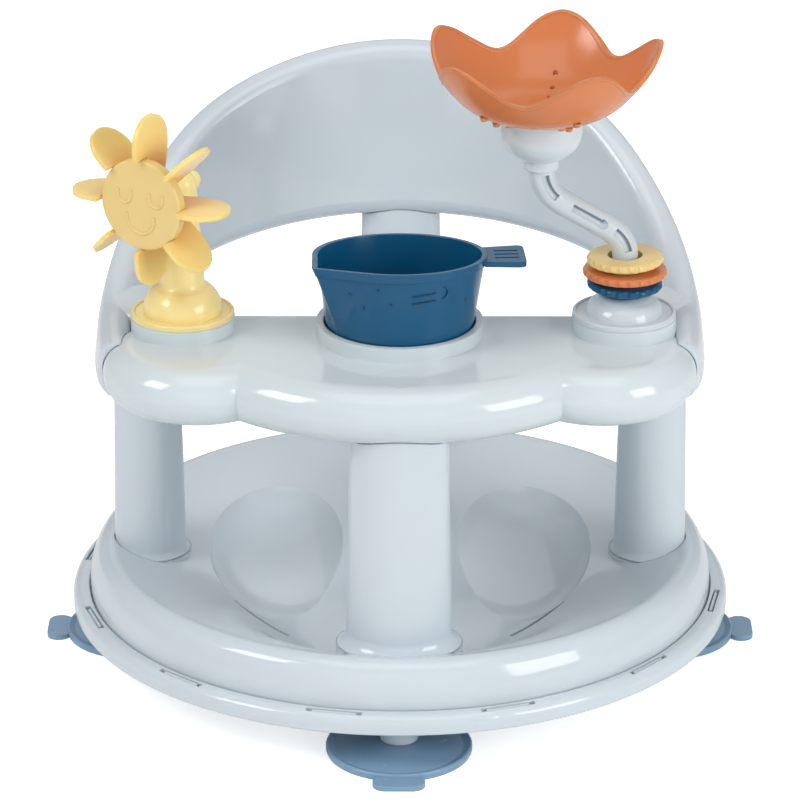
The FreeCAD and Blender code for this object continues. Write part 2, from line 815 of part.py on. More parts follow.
def seat_pan():
    pan_floor = crest_height - bowl_depth - pan_wall * 2
    outer_dome = dome("pan_outer_dome", 0 * pan_wall, pan_floor, dome_radius - pan_wall * 2)
    inner_dome = dome("pan_inner_dome", pan_wall, pan_floor - cut_over, dome_radius - pan_wall * 1.5)
    outer_bowl = bowl_tool("pan_outer_bowl", 0 * pan_wall)
    inner_bowl = bowl_tool("pan_inner_bowl", pan_wall)
    floor_height = crest_height - bowl_depth
    dips = []
    thick_dips = []
    for side in (-1, 1):
        for thick, bag in ((0 * pan_wall, dips), (pan_wall, thick_dips)):
            bag.append(part("Part::Ellipsoid", "dip_%d_%d" % (side + 1, thick.value > 0),
                            (hollow_spread * side, hollow_back, hollow_lift), (1, 0, 0), hollow_tilt,
                            Radius1=hollow_height + thick, Radius2=hollow_width + thick,
                            Radius3=hollow_length + thick))
    blocks = []
    hollows = []
    holes = []
    pockets = []
    rims = []
    for row in POSTS:
        name, angle, orbit = row[:3]
        reach = row[6]
        blocks.append(oval_stack(name + "_block", row, [(0, reach), (block_top, reach)]))
        rim_grow = reach + fit_gap + pan_wall
        rims.append(oval_stack(name + "_rim", row, [(block_top - pan_wall * 4, rim_grow),
                                                    (crest_height, rim_grow)]))
        hollows.append(oval_stack(name + "_hollow", row, [(0, reach - pan_wall), (block_top - pan_wall,
                                                                                   reach - pan_wall)]))
        pockets.append(foot_pocket(row))
        spot = (orbit * cosine(angle), orbit * sine(angle))
        holes.append(cylinder(name + "_hole", screw_shank + fit_gap, crest_height, spot + (0,)))
    shell = cut("pan_bowl", outer_dome, [outer_bowl] + dips)
    full = fuse("pan_full", [shell] + [common("pan_blocks", dome_block("pan_block_dome", 0 * pan_wall),
                                              fuse("pan_block_sum", blocks))])
    void = cut("pan_void", inner_dome, [inner_bowl] + thick_dips + rims)
    void_full = fuse("pan_void_full", [void] + [common("pan_hollows", dome_block("pan_hollow_dome", pan_wall),
                                                       fuse("pan_hollow_sum", hollows))])
    flange = turned("pan_flange", [
        (dome_radius - pan_wall, flange_bottom),
        (flange_radius, flange_bottom),
        (flange_radius, flange_top),
        (dome_radius - pan_wall, flange_top),
    ])
    hub_top = floor_height - pan_wall
    hub = turned("pan_hub", [
        (spigot_radius + fit_gap, plate_top + fit_gap),
        (hub_radius, plate_top + fit_gap),
        (hub_radius, hub_top),
        (spigot_radius + fit_gap, hub_top),
    ])
    drains = []
    for side in (-1, 1):
        spot = ((hollow_spread - drain_back) * side, -drain_forward)
        start = drain_start if side > 0 else 180 - drain_start - drain_sweep
        hoop = []
        for label, radius in (("outer", drain_orbit + drain_width / 2), ("inner", drain_orbit - drain_width / 2)):
            item = part("Part::Cylinder", "drain_%d_%s" % (side + 1, label), spot + (0,), (0, 0, 1), start,
                        Radius=radius, Height=crest_height)
            bind(item, "Angle", drain_sweep)
            hoop.append(item)
        drains.append(cut("drain_%d" % (side + 1), hoop[0], hoop[1:]))
    whole = cut("pan_open", full, [void_full] + pockets)
    finish(cut("seat_pan_solid", fuse("pan_sum", [whole, flange, hub]), holes + drains), "seat_pan")


def dome_block(name, thick):
    """The part of the dome that a post's block may fill, up to the block's top."""
    roll = roll_radius - thick
    roll_z = crest_height - roll_radius
    joint = (crest_radius + roll * cosine(flank_angle), roll_z + roll * sine(flank_angle))
    flank_z = roll_z + (roll_radius - flank_radius) * sine(flank_angle)
    bottom = flange_bottom - (cut_over if thick.value else 0)
    return turned(name, [
        (0, bottom),
        (dome_radius - thick, bottom),
        (dome_radius - thick, flank_z),
        joint + (flank_radius - thick, OUTWARD),
        (crest_radius, crest_height - thick, roll, OUTWARD),
        (0, crest_height - thick),
    ])


def oval(name, across, along, at, angle):
    """One oval section of a post, its long way first."""
    wide = max(across.value, along.value) == across.value
    item = doc.addObject("Part::Ellipse", name)
    item.Angle1 = 0
    item.Angle2 = 360
    bind(item, "MajorRadius", across if wide else along)
    bind(item, "MinorRadius", along if wide else across)
    return put(item, at, (0, 0, 1), angle)


def loft(name, sections, ruled=False):
    item = doc.addObject("Part::Loft", name)
    item.Sections = sections
    item.Solid = True
    item.Ruled = ruled
    return item


def post(row, neck, neck_deep, top, hollow_top):
    """A tapered oval post with a flared foot, hollow from below round a core for its screw."""
    name, angle, orbit, lean, foot, foot_deep, reach, rise = row
    bottom = post_bottom
    turn = angle - 90

    def level(label, share, extra, shrink=0):
        height = bottom + (top - bottom) * share
        far = orbit + lean * share
        across = foot + (neck - foot) * share + extra - shrink
        along = foot_deep + (neck_deep - foot_deep) * share + extra - shrink
        place = (far * cosine(angle), far * sine(angle), height)
        return oval("%s_%s" % (name, label), across, along, place, turn)

    flare = []
    for index, (high, wide) in enumerate(zip(flare_rises, flare_shares)):
        flare.append(level("flare_%d" % index, rise * high / (top - bottom), reach * wide))
    shaft = loft(name + "_shaft", [level("low", rise / (top - bottom) * 0.9, 0 * flare_reach),
                                   level("high", as_size(1), 0 * flare_reach)], True)
    foot_loft = loft(name + "_foot", flare)
    inner_share = (hollow_top - bottom) / (top - bottom)
    inside = loft(name + "_inside", [level("in_low", as_size(0), 0 * flare_reach, post_wall),
                                     level("in_high", inner_share, 0 * flare_reach, post_wall)], True)
    low = (orbit * cosine(angle), orbit * sine(angle), bottom)
    core = cylinder(name + "_core", core_radius, screw_length * 1.5, low)
    bridge = box(name + "_web", foot_deep * 2 - post_wall, rib_thick, screw_length * 1.5,
                 ((orbit - foot_deep + post_wall / 2) * cosine(angle) + rib_thick / 2 * sine(angle),
                  (orbit - foot_deep + post_wall / 2) * sine(angle) - rib_thick / 2 * cosine(angle), bottom),
                 (0, 0, 1), angle)
    pilot = cylinder(name + "_pilot", screw_shank + run_gap, screw_length * 2, low[:2] + (bottom - screw_length,))
    hollow = cut(name + "_tube", fuse(name + "_outside", [shaft, foot_loft]), [inside])
    return fuse(name + "_sum", [hollow, core, bridge]), pilot


def posts():
    solids = {}
    for row in POSTS[:1] + POSTS[2:3]:
        name, angle, orbit = row[:3]
        top = tray_bottom - fit_gap
        whole, pilot = post(row, side_post_neck, side_post_neck, top, top - post_wall)
        peg = cylinder(name + "_peg", peg_radius, peg_height + post_wall,
                       (orbit * cosine(angle), orbit * sine(angle), top - post_wall))
        solids[name] = cut(name + "_solid", fuse(name + "_all", [whole, peg]), [pilot])
        finish(solids[name], name)


def front_post():
    name, angle, orbit = POSTS[3][:3]
    top = tray_bottom + tray_nose
    under_tray = tray_bottom - fit_gap
    whole, pilot = post(POSTS[3], front_post_neck, front_post_neck_depth, top, under_tray - post_wall)
    saddle = bullnose("saddle_lobe", lobe_radius + fit_gap, under_tray, tray_height + fit_gap * 2,
                      (0, -lobe_centre))
    peg = cylinder("front_peg", peg_radius, peg_height + post_wall, (0, -orbit, under_tray - post_wall))
    shaped = cut("front_post_shaped", whole, [saddle])
    finish(cut("front_post_solid", fuse("front_post_all", [shaped, peg]), [pilot]), name)


def back_post():
    name, angle, orbit = POSTS[1][:3]
    whole, pilot = post(POSTS[1], back_post_neck, back_post_neck_depth, back_post_top,
                        rest_back_bottom - post_wall)
    saddled = cut("back_post_saddled", whole, [rest_form("back_saddle", fit_gap)])
    low = rest_back_bottom - post_wall
    peg = cylinder("back_post_peg", back_peg_radius, back_peg_height, (0, orbit + back_post_lean, low))
    finish(cut("back_post_solid", fuse("back_post_all", [saddled, peg]), [pilot]), name)


def post_screws():
    """Four alike screws, from below the pan's blocks up into the posts."""
    screws = []
    head_top = block_top - pan_wall - fit_gap
    for name, angle, orbit in [row[:3] for row in POSTS]:
        spot = (orbit * cosine(angle), orbit * sine(angle))
        head = cylinder(name + "_screw_head", screw_head, screw_head_thick, spot + (head_top - screw_head_thick,))
        shank = cylinder(name + "_screw_shank", screw_shank, screw_length, spot + (head_top - fit_gap,))
        screws.append(fuse(name + "_screw", [head, shank]))
    item = doc.addObject("Part::Compound", "post_screws_all")
    item.Links = screws
    finish(item, "post_screws")


def bullnose(name, radius, bottom, height, centre):
    """A round slab with a half-round edge."""
    nose = height / 2
    item = turned(name, [
        (0, bottom),
        (radius - nose, bottom),
        (radius, bottom + nose, nose, OUTWARD),
        (radius - nose, bottom + height, nose, OUTWARD),
        (0, bottom + height),
    ])
    return put(item, centre + (0,))


def rear_block(name, trim):
    """Space in front of the tray's rear edge, which is half round too."""
    owner = body(name)
    face = sketch(owner, name + "_face", "YZ_Plane")
    nose = tray_nose - trim
    rear = -tray_rear - trim
    middle = tray_bottom + tray_nose
    far = -(lobe_radius + lobe_centre + cut_over)
    outline(face, [
        (far, middle - nose),
        (rear - nose, middle - nose),
        (rear, middle, nose, OUTWARD),
        (rear - nose, middle + nose, nose, OUTWARD),
        (far, middle + nose),
    ])
    pad(owner, name + "_pad", face, rear_half_width * 2, True)
    return owner


def lobes(name, trim):
    """The tray's three lobes, drawn in by trim all round."""
    bottom = tray_bottom + trim
    height = tray_height - trim * 2
    middle = bullnose(name + "_middle", lobe_radius - trim, bottom, height, (0, -lobe_centre))
    slabs = [common(name + "_kept", middle, rear_block(name + "_keep", trim))]
    for side in (-1, 1):
        label = "%s_%d" % (name, side + 1)
        slabs.append(bullnose(label + "_wing", wing_radius - trim, bottom, height,
                              (wing_spread * side, -wing_forward)))
        slabs.append(part("Part::Sphere", label + "_corner",
                          (rear_half_width * side, -tray_rear - tray_nose, tray_bottom + tray_nose),
                          Radius=tray_nose - trim))
    return fuse(name, slabs)


def tongue(name, side, gap):
    """A rear tongue of the tray that lies in the backrest's shoulder."""
    length = tray_rear + tray_nose - tongue_back
    return box(name, tongue_width + gap * 2, length + gap * 2, tongue_thick + gap * 2,
               (tongue_spread * side - tongue_width / 2 - gap, -tongue_back - length - gap,
                tray_bottom + tray_nose - tongue_thick / 2 - gap))


def cover_form(name, gap, bottom, thick):
    """The flat plate that closes the tray from below, drawn in by gap."""
    middle = cylinder(name + "_disc", lobe_radius - cover_inset - gap, thick, (0, -lobe_centre, bottom))
    room = box(name + "_room", (rear_half_width - gap) * 2, lobe_radius * 2, thick * 3,
               (-rear_half_width + gap, -tray_rear - tray_nose - gap - lobe_radius * 2, bottom - thick))
    slabs = [common(name + "_cut", middle, room)]
    for side in (-1, 1):
        slabs.append(cylinder("%s_wing_%d" % (name, side + 1), wing_radius - cover_inset - gap, thick,
                              (wing_spread * side, -wing_forward, bottom)))
    return fuse(name, slabs)


def cover_spots():
    """Where the cover's four screws go up into the tray."""
    return [(pillar_spread * side, -pillar_forward) for side in (-1, 1)] + \
        [(wing_spread * side, -wing_forward) for side in (-1, 1)]


def play_tray():
    inner = lobes("tray_hollow", tray_wall)
    mouth = cover_form("tray_mouth", 0 * fit_gap, tray_bottom - cut_over, tray_wall * 2 + cut_over)
    shell = cut("tray_shell", lobes("tray_form", 0 * tray_wall), [inner, mouth])
    added = [shell]
    taken = []
    slope = sine(cup_taper) / cosine(cup_taper)
    recess_floor = collar_top - recess_depth
    added.append(cylinder("cup_collar", cup_hole + collar_rim, collar_height + tray_wall,
                          (0, -cup_forward, tray_top - tray_wall)))
    added.append(part("Part::Cone", "recess_outer", (0, -cup_forward, recess_floor - tray_wall),
                      Radius1=cup_hole + tray_wall - recess_depth * slope, Radius2=cup_hole + tray_wall,
                      Height=recess_depth + tray_wall - collar_height / 4))
    taken.append(part("Part::Cone", "recess_inner", (0, -cup_forward, recess_floor),
                      Radius1=cup_hole - recess_depth * slope, Radius2=cup_hole + cut_over * slope,
                      Height=recess_depth + cut_over))
    for side, spread in ((-1, sun_spread), (1, flower_spread)):
        spot = (spread * side, -toy_forward)
        label = "toy_%d" % (side + 1)
        added.append(cylinder(label + "_collar", toy_collar, collar_height + tray_wall,
                              spot + (tray_top - tray_wall,)))
        added.append(cylinder(label + "_socket", toy_peg + fit_gap + tray_wall, toy_peg_length + tray_wall,
                              spot + (collar_top - toy_peg_length - tray_wall,)))
        taken.append(cylinder(label + "_bore", toy_peg + fit_gap, toy_peg_length + cut_over,
                              spot + (collar_top - toy_peg_length,)))
        added.append(tongue(label + "_tongue", side, 0 * fit_gap))
    added.append(cylinder("peg_boss", peg_radius + fit_gap + tray_wall, tray_height - tray_wall,
                          (0, -front_post_orbit, tray_bottom + cover_thick + fit_gap)))
    taken.append(cylinder("peg_hole", peg_radius + fit_gap, peg_height + fit_gap + cut_over,
                          (0, -front_post_orbit, tray_bottom - fit_gap - cut_over)))
    for index, spot in enumerate(cover_spots()):
        low = tray_bottom + cover_thick + fit_gap
        added.append(cylinder("pillar_%d" % index, pillar_radius, tray_height - cover_thick - tray_wall,
                              spot + (low,)))
        taken.append(cylinder("pillar_bore_%d" % index, screw_shank + run_gap, cover_screw_length,
                              spot + (tray_bottom,)))
    finish(cut("play_tray_solid", fuse("tray_sum", added), taken), "play_tray")


def tray_cover():
    plate = cover_form("cover_plate", fit_gap, tray_bottom, cover_thick)
    holes = [cylinder("cover_peg_hole", peg_radius + fit_gap, cover_thick * 3,
                      (0, -front_post_orbit, tray_bottom - cover_thick))]
    for index, spot in enumerate(cover_spots()):
        holes.append(cylinder("cover_hole_%d" % index, screw_shank + fit_gap, cover_thick * 3,
                              spot + (tray_bottom - cover_thick,)))
    finish(cut("tray_cover_solid", plate, holes), "tray_cover")


def cover_screws():
    """Four alike screws that hold the cover under the tray."""
    screws = []
    for index, spot in enumerate(cover_spots()):
        head = cylinder("cover_screw_head_%d" % index, cover_head, cover_head_thick,
                        spot + (tray_bottom - cover_head_thick,))
        shank = cylinder("cover_screw_shank_%d" % index, screw_shank, cover_screw_length - fit_gap,
                         spot + (tray_bottom - cover_head_thick / 2,))
        screws.append(fuse("cover_screw_%d" % index, [head, shank]))
    item = doc.addObject("Part::Compound", "cover_screws_all")
    item.Links = screws
    finish(item, "cover_screws")


def rest_heights(place):
    """Lower and upper edge of the backrest at a place on its middle line."""
    turn = math.atan2(max(place.y, 0), abs(place.x)) / (math.pi / 2)
    steps = len(rest_rise_shares) - 1
    index = min(int(turn * steps + 1 / 1000), steps - 1)
    before, after = rest_rise_shares[index:index + 2]
    rise = before + (after - before) * (turn * steps - index)
    top = tray_top.value + (rest_top.value - tray_top.value) * rise
    share = max(place.y, 0) / rest_radius.value
    return tray_bottom.value + (rest_back_bottom.value - tray_bottom.value) * share, top


def rest_section(place, outward, gap, shrink=1.0):
    """One upright section of the backrest: two straight sides with half-round ends."""
    low, high = rest_heights(place)
    low_half = rest_thick.value / 2 * shrink + gap
    high_half = rest_edge_thick.value / 2 * shrink + gap
    low = low - gap
    high = high + gap
    lean = rest_lean.value * (high - tray_top.value) / (rest_top.value - tray_top.value)
    up = V(0, 0, 1)
    foot = V(place.x, place.y, low + low_half)
    head = V(place.x, place.y, high - high_half) + outward * lean
    edges = [
        Part.LineSegment(foot + outward * low_half, head + outward * high_half).toShape(),
        Part.Arc(head + outward * high_half, head + up * high_half, head - outward * high_half).toShape(),
        Part.LineSegment(head - outward * high_half, foot - outward * low_half).toShape(),
        Part.Arc(foot - outward * low_half, foot - up * low_half, foot + outward * low_half).toShape(),
    ]
    return Part.Wire(edges)


def rest_form(name, gap_size):
    """The backrest's band: a half ring with an arm forward on each side."""
    gap = gap_size.value
    radius = rest_radius.value
    length = arm_length.value
    toe = arm_toe_in.value
    wires = []
    arm_shares = (1, 0.97, 0.86, 0.7, 0.35)
    end_shares = (0.55, 0.8, 0.96, 1, 1)
    for share, shrink in zip(arm_shares, end_shares):
        wires.append(rest_section(V(radius - toe * share ** 2, -length * share, 0), V(1, 0, 0), gap, shrink))
    steps = 12
    for index in range(steps + 1):
        turn = math.pi * index / steps
        outward = V(math.cos(turn), math.sin(turn), 0)
        wires.append(rest_section(outward * radius, outward, gap))
    for share, shrink in reversed(list(zip(arm_shares, end_shares))):
        wires.append(rest_section(V(toe * share ** 2 - radius, -length * share, 0), V(-1, 0, 0), gap, shrink))
    return made(name, Part.makeLoft(wires, True, False))


def shoulder(name, side):
    """The round pad of the backrest that stands on a side post."""
    item = turned(name, [
        (0, tray_bottom),
        (shoulder_radius - shoulder_round, tray_bottom),
        (shoulder_radius, tray_bottom + shoulder_round, shoulder_round, OUTWARD),
        (shoulder_radius, tray_top - shoulder_round),
        (shoulder_radius - shoulder_round, tray_top, shoulder_round, OUTWARD),
        (0, tray_top),
    ])
    return put(item, (side_post_orbit * side, 0, 0))


def backrest():
    added = [rest_form("rest_band", 0 * fit_gap)]
    taken = []
    for side, spread in ((-1, sun_spread), (1, flower_spread)):
        label = "shoulder_%d" % (side + 1)
        added.append(shoulder(label, side))
        taken.append(cylinder(label + "_socket", peg_radius + fit_gap, peg_height + fit_gap * 2 + cut_over,
                              (side_post_orbit * side, 0, tray_bottom - fit_gap - cut_over)))
        taken.append(bullnose(label + "_nest", wing_radius + fit_gap, tray_bottom - fit_gap,
                              tray_height + fit_gap * 2, (wing_spread * side, -wing_forward)))
        taken.append(cylinder(label + "_room", toy_collar + fit_gap, collar_height * 3,
                              (spread * side, -toy_forward, tray_top - tray_wall - fit_gap)))
        taken.append(tongue(label + "_slot", side, fit_gap))
    taken.append(cylinder("rest_peg_bore", back_peg_radius + fit_gap, back_peg_height + fit_gap,
                          (0, back_post_orbit + back_post_lean, rest_back_bottom - post_wall)))
    finish(cut("backrest_solid", fuse("backrest_sum", added), taken), "backrest")


def toy_foot(rise, stem, top_points):
    """Profile of a toy's foot: peg, flange and dome, then the points given from the stem's foot up."""
    seat = collar_top
    return [
        (0, seat - toy_peg_length + fit_gap),
        (toy_peg - fit_gap, seat - toy_peg_length + fit_gap),
        (toy_peg, seat - toy_peg_length + fit_gap * 2),
        (toy_peg, seat),
        (toy_flange, seat),
        (toy_flange, seat + toy_flange_thick),
        (toy_dome, seat + toy_flange_thick),
        ((toy_dome + stem) / 2 + rise * 0.16, seat + toy_flange_thick + rise * 0.72, rise * 1.05, OUTWARD),
        (stem + sun_fillet * 0.8, seat + toy_flange_thick + rise, rise * 1.05, OUTWARD),
    ] + top_points


def sun_place():
    return (-sun_spread, -toy_forward, sun_axle_height)


def on_sun_axis(item):
    """Turns a piece made round its own Z axis so that Z is the mill's axle."""
    return aim(item, sun_place(), -sun_yaw, 0, 90)


def sun_stand():
    base = collar_top + toy_flange_thick + sun_dome_rise
    owner = turned("sun_stand_body", toy_foot(sun_dome_rise, sun_stem, [
        (sun_stem, base + sun_fillet * 0.8, sun_fillet, INWARD),
        (sun_stem_neck, sun_axle_height),
        (0, sun_axle_height + sun_stem_neck, sun_stem_neck, OUTWARD),
    ]))
    put(owner, (-sun_spread, -toy_forward, 0))
    pad_length = wheel_start - fit_gap
    front = cylinder("sun_pad", sun_pad, pad_length, (0, 0, 0))
    rear = cylinder("sun_rear_pad", sun_pad, sun_stem_neck + face_round, (0, 0, -sun_stem_neck - face_round))
    pads = on_sun_axis(fuse("sun_pads", [front, rear]))
    reach = wheel_start * 2
    bore = aim(cylinder("sun_bore", sun_axle + run_gap, reach * 2, (0, 0, 0)),
               (reach * sine(sun_yaw) - sun_spread, reach * cosine(sun_yaw) - toy_forward, sun_axle_height),
               -sun_yaw, 0, 90)
    finish(cut("sun_stand_solid", fuse("sun_stand_sum", [owner, pads]), [bore]), "sun_stand")


def sun_axle_pin():
    head_start = wheel_start + hub_length + fit_gap
    owner = turned("sun_axle_body", [
        (0, -sun_stem_neck - face_round - knob_length * 0.8),
        (sun_axle, -sun_stem_neck - face_round - knob_length * 0.8),
        (sun_axle, head_start),
        (axle_head, head_start),
        (axle_head, head_start + axle_head_thick),
        (0, head_start + axle_head_thick),
    ])
    finish(on_sun_axis(owner), "sun_axle")


def sun_wheel():
    owner = turned("sun_wheel_body", [
        (sun_axle + run_gap, wheel_start),
        (wheel_hub, wheel_start),
        (wheel_hub * 0.8, wheel_start + hub_length),
        (sun_axle + run_gap, wheel_start + hub_length),
    ])
    middle = wheel_start + wheel_length / 2
    half = wheel_length / 2
    wide_at = blade_reach - half
    blade = sketch(owner, "blade_outline", "XZ_Plane")
    outline(blade, [
        (wheel_hub * 0.7, middle + blade_root / 2),
        (wheel_hub * 0.7, middle - blade_root / 2),
        (wide_at, middle - half, blade_reach * 0.9, OUTWARD),
        (blade_reach, middle, half, OUTWARD),
        (wide_at, middle + half, half, OUTWARD),
        (wheel_hub * 0.7, middle + blade_root / 2, blade_reach * 0.9, OUTWARD),
    ][1:])
    blades = pad(owner, "blade", blade, blade_thick, True)
    spread_round(owner, "blades", blades, blade_count)
    face_room = cylinder("wheel_face_room", face_radius + fit_gap, wheel_length, (0, 0, wheel_start + hub_length))
    finish(on_sun_axis(cut("sun_wheel_solid", owner, [face_room])), "sun_wheel")


def face_arc(name, radius, rise, at):
    """A raised line: the lower half of a ring with two short straight ends."""
    arc = part("Part::Torus", name + "_bend", Radius1=radius, Radius2=face_line)
    arc.Angle3 = 180
    lines = [aim(arc, at, 180, 0, 0)]
    for side in (-1, 1):
        end = part("Part::Cylinder", "%s_end_%d" % (name, side + 1), Radius=face_line, Height=rise)
        lines.append(aim(end, (at[0] + radius * side, at[1], at[2]), 0, 0, -90))
    return fuse(name, lines)


def sun_face():
    back = wheel_start + hub_length
    front = back + face_thick
    pocket_deep = axle_head_thick + fit_gap * 2
    owner = turned("sun_face_body", [
        (0, back + pocket_deep),
        (axle_head + fit_gap, back + pocket_deep),
        (axle_head + fit_gap, back),
        (face_radius - face_round / 2, back),
        (face_radius, back + face_round / 2, face_round / 2, OUTWARD),
        (face_radius, front - face_round),
        (face_radius - face_round, front, face_round, OUTWARD),
        (0, front),
    ])
    lines = [face_arc("eye_left", eye_radius, eye_rise, (-eye_spread, eye_height, front)),
             face_arc("eye_right", eye_radius, eye_rise, (eye_spread, eye_height, front)),
             face_arc("smile", smile_radius, smile_rise, (0, -smile_drop, front))]
    finish(on_sun_axis(fuse("sun_face_sum", [owner] + lines)), "sun_face")


def sun_knob():
    start = -sun_stem_neck - face_round - fit_gap
    owner = turned("sun_knob_body", [
        (0, start - knob_length),
        (knob_radius - face_round, start - knob_length),
        (knob_radius, start - knob_length + face_round, face_round, OUTWARD),
        (knob_radius, start),
        (sun_axle, start),
        (sun_axle, start - knob_length * 0.8 + fit_gap),
        (0, start - knob_length * 0.8 + fit_gap),
    ])
    finish(on_sun_axis(owner), "sun_knob")


def teardrop(name, height, radius, reach, tip, slant=0):
    """A round section drawn out to a small tip, as a sketch at a height, higher at the front by a slant."""
    item = doc.addObject("Sketcher::SketchObject", name)
    put(item, (0, 0, height), (cosine(spout_heading).value, -sine(spout_heading).value, 0), slant)
    centre = radius + reach - tip
    lean = (radius - tip) / centre
    rise = root(1 - lean * lean)
    outline(item, [
        (-radius, 0, radius, OUTWARD),
        (radius * lean, -(radius * rise), radius, OUTWARD),
        (centre + tip * lean, -(tip * rise)),
        (centre + tip * lean, tip * rise, tip, OUTWARD),
        (radius * lean, radius * rise),
    ])
    return item


def cup_form(name, trim, bottom):
    """The cup's tapered body with its spout, drawn in by trim."""
    floor = collar_top - recess_depth + fit_gap
    slope = sine(cup_taper) / cosine(cup_taper)
    nub = fit_gap
    sections = []
    for index, (height, reach) in enumerate(((0 * cup_height, nub), (spout_start, nub), (cup_height, spout_reach))):
        radius = cup_foot + height * slope - trim
        lift = floor + height
        if index == 0:
            lift = lift + bottom
            radius = radius + bottom * slope
        if index == 2 and trim.value > 0:
            lift = lift + cut_over
            radius = radius + cut_over * slope
        slant = -rim_slant if index == 2 else 0
        sections.append(teardrop("%s_%d" % (name, index), lift, radius, reach, spout_tip - trim, slant))
    return loft(name, sections, True)


def pouring_cup():
    slope = sine(cup_taper) / cosine(cup_taper)
    top = collar_top - recess_depth + fit_gap + cup_height
    outer = cup_form("cup_outer", 0 * cup_wall, 0 * cup_wall)
    inner = cup_form("cup_inner", cup_wall, cup_wall)
    rim = cup_foot + cup_height * slope + cup_band
    band_low = teardrop("cup_band_low", top - cup_band_height, rim - cup_band_height * slope,
                        spout_reach * (1 - 0.16), spout_tip, -rim_slant)
    band = loft("cup_band_form", [band_low, teardrop("cup_band_high", top, rim, spout_reach, spout_tip,
                                                      -rim_slant)], True)
    owner = body("cup_handle_body")
    plate = sketch(owner, "cup_handle_outline", "XY_Plane", top - handle_drop - handle_thick)
    start = -rim + cup_wall
    end = -rim - handle_length
    outline(plate, [
        (start, handle_root / 2),
        (end + handle_corner, handle_end / 2),
        (end, handle_end / 2 - handle_corner, handle_corner, OUTWARD),
        (end, -handle_end / 2 + handle_corner),
        (end + handle_corner, -handle_end / 2, handle_corner, OUTWARD),
        (start, -handle_root / 2),
    ])
    pad(owner, "cup_handle_plate", plate, handle_thick)
    grooves = []
    for index in (-1, 0, 1):
        grooves.append(box("cup_groove_%d" % (index + 1), groove_length, groove_width, handle_thick,
                           (end + handle_corner, groove_pitch * index - groove_width / 2,
                            top - handle_drop - handle_thick / 3)))
    handle = put(cut("cup_handle", owner, grooves), (0, 0, 0), (0, 0, 1),
                 handle_heading + 180 - spout_heading)
    whole = cut("cup_solid", fuse("cup_sum", [outer, band, handle]), [inner])
    finish(put(whole, (0, -cup_forward, 0), (0, 0, 1), spout_heading), "pouring_cup")


def arm_points():
    """The arm's centre line, from the toy's own axis, as places in X and Z."""
    foot = collar_top + toy_flange_thick + flower_dome_rise
    start = (0 * arm_run, foot - arm_socket)
    rise = (0 * arm_run, foot + arm_rise)
    side = sine(arm_turn)
    up = cosine(arm_turn)
    bend = (rise[0] - arm_low_bend + arm_low_bend * up, rise[1] + arm_low_bend * side)
    run = (bend[0] - arm_run * side, bend[1] + arm_run * up)
    over = (run[0] + arm_high_bend * up - arm_high_bend, run[1] + arm_high_bend * side)
    tip = (over[0], over[1] + arm_tip)
    return start, rise, bend, run, over, tip


def flower_stand():
    top = collar_top + toy_flange_thick + flower_dome_rise
    owner = turned("flower_stand_body", toy_foot(flower_dome_rise, arm_radius, [
        (arm_radius, top),
        (arm_radius, top - arm_socket),
        (0, top - arm_socket),
    ]))
    finish(put(owner, (flower_spread, -toy_forward, 0)), "flower_stand")


def flower_arm():
    start, rise, bend, run, over, tip = arm_points()
    owner = body("flower_arm_body")
    path = sketch(owner, "arm_path", "XZ_Plane")
    outline(path, [start, rise, bend + (arm_low_bend, OUTWARD), run, over + (arm_high_bend, INWARD), tip], False)
    section = sketch(owner, "arm_section", "XY_Plane", start[1])
    disc(section, arm_radius)
    pipe = owner.newObject("PartDesign::AdditivePipe", "arm_pipe")
    pipe.Profile = section
    pipe.Spine = path
    owner.Tip = pipe
    deep = -root(arm_radius * arm_radius - slot_offset * slot_offset)
    side = sine(arm_turn)
    up = cosine(arm_turn)
    margin = arm_turn / 5
    tools = []
    low = part("Part::Torus", "slot_low", Radius1=arm_low_bend + slot_offset, Radius2=slot_radius)
    low.Angle3 = arm_turn.value * 0.68
    tools.append(aim(low, (rise[0] - arm_low_bend, deep, rise[1]), 0, -margin, 90))
    high = part("Part::Torus", "slot_high", Radius1=arm_high_bend - slot_offset, Radius2=slot_radius)
    high.Angle3 = arm_turn.value * 0.68
    tools.append(aim(high, (over[0] + arm_high_bend, deep, over[1]), 0, -180 - margin * 0.6, 90))
    share = arm_run * 0.18
    foot = (bend[0] - share * side + slot_offset * up, deep, bend[1] + share * up + slot_offset * side)
    middle = part("Part::Cylinder", "slot_middle", Radius=slot_radius, Height=arm_run * 0.64)
    tools.append(aim(middle, foot, 0, -arm_turn, 0))
    tools.append(part("Part::Sphere", "slot_end", foot, Radius=slot_end_radius))
    finish(put(cut("flower_arm_solid", owner, tools), (flower_spread, -toy_forward, 0)), "flower_arm")


def holder_place():
    tip = arm_points()[-1]
    return (flower_spread + tip[0], -toy_forward, tip[1])


def flower_holder():
    bowl_low = fit_gap
    bowl_high = bowl_low + holder_bowl
    floor = bowl_low + holder_wall
    inner = holder_radius - holder_wall
    owner = turned("flower_holder_body", [
        (0, 0),
        (arm_radius, 0),
        (arm_radius, -holder_socket),
        (holder_boss, -holder_socket),
        (holder_boss, bowl_low),
        (holder_radius, bowl_high, holder_bowl, OUTWARD),
        (holder_radius, holder_rise),
        (inner, holder_rise),
        (inner, bowl_high),
        (pin_shoulder + holder_wall, floor, holder_bowl - holder_wall, INWARD),
        (pin_shoulder, floor),
        (pin_shoulder, holder_rise - pin_height - fit_gap),
        (pin_radius, holder_rise - pin_height - fit_gap),
        (pin_radius, holder_rise - dish_gap),
        (0, holder_rise - dish_gap),
    ])
    finish(put(owner, holder_place()), "flower_holder")


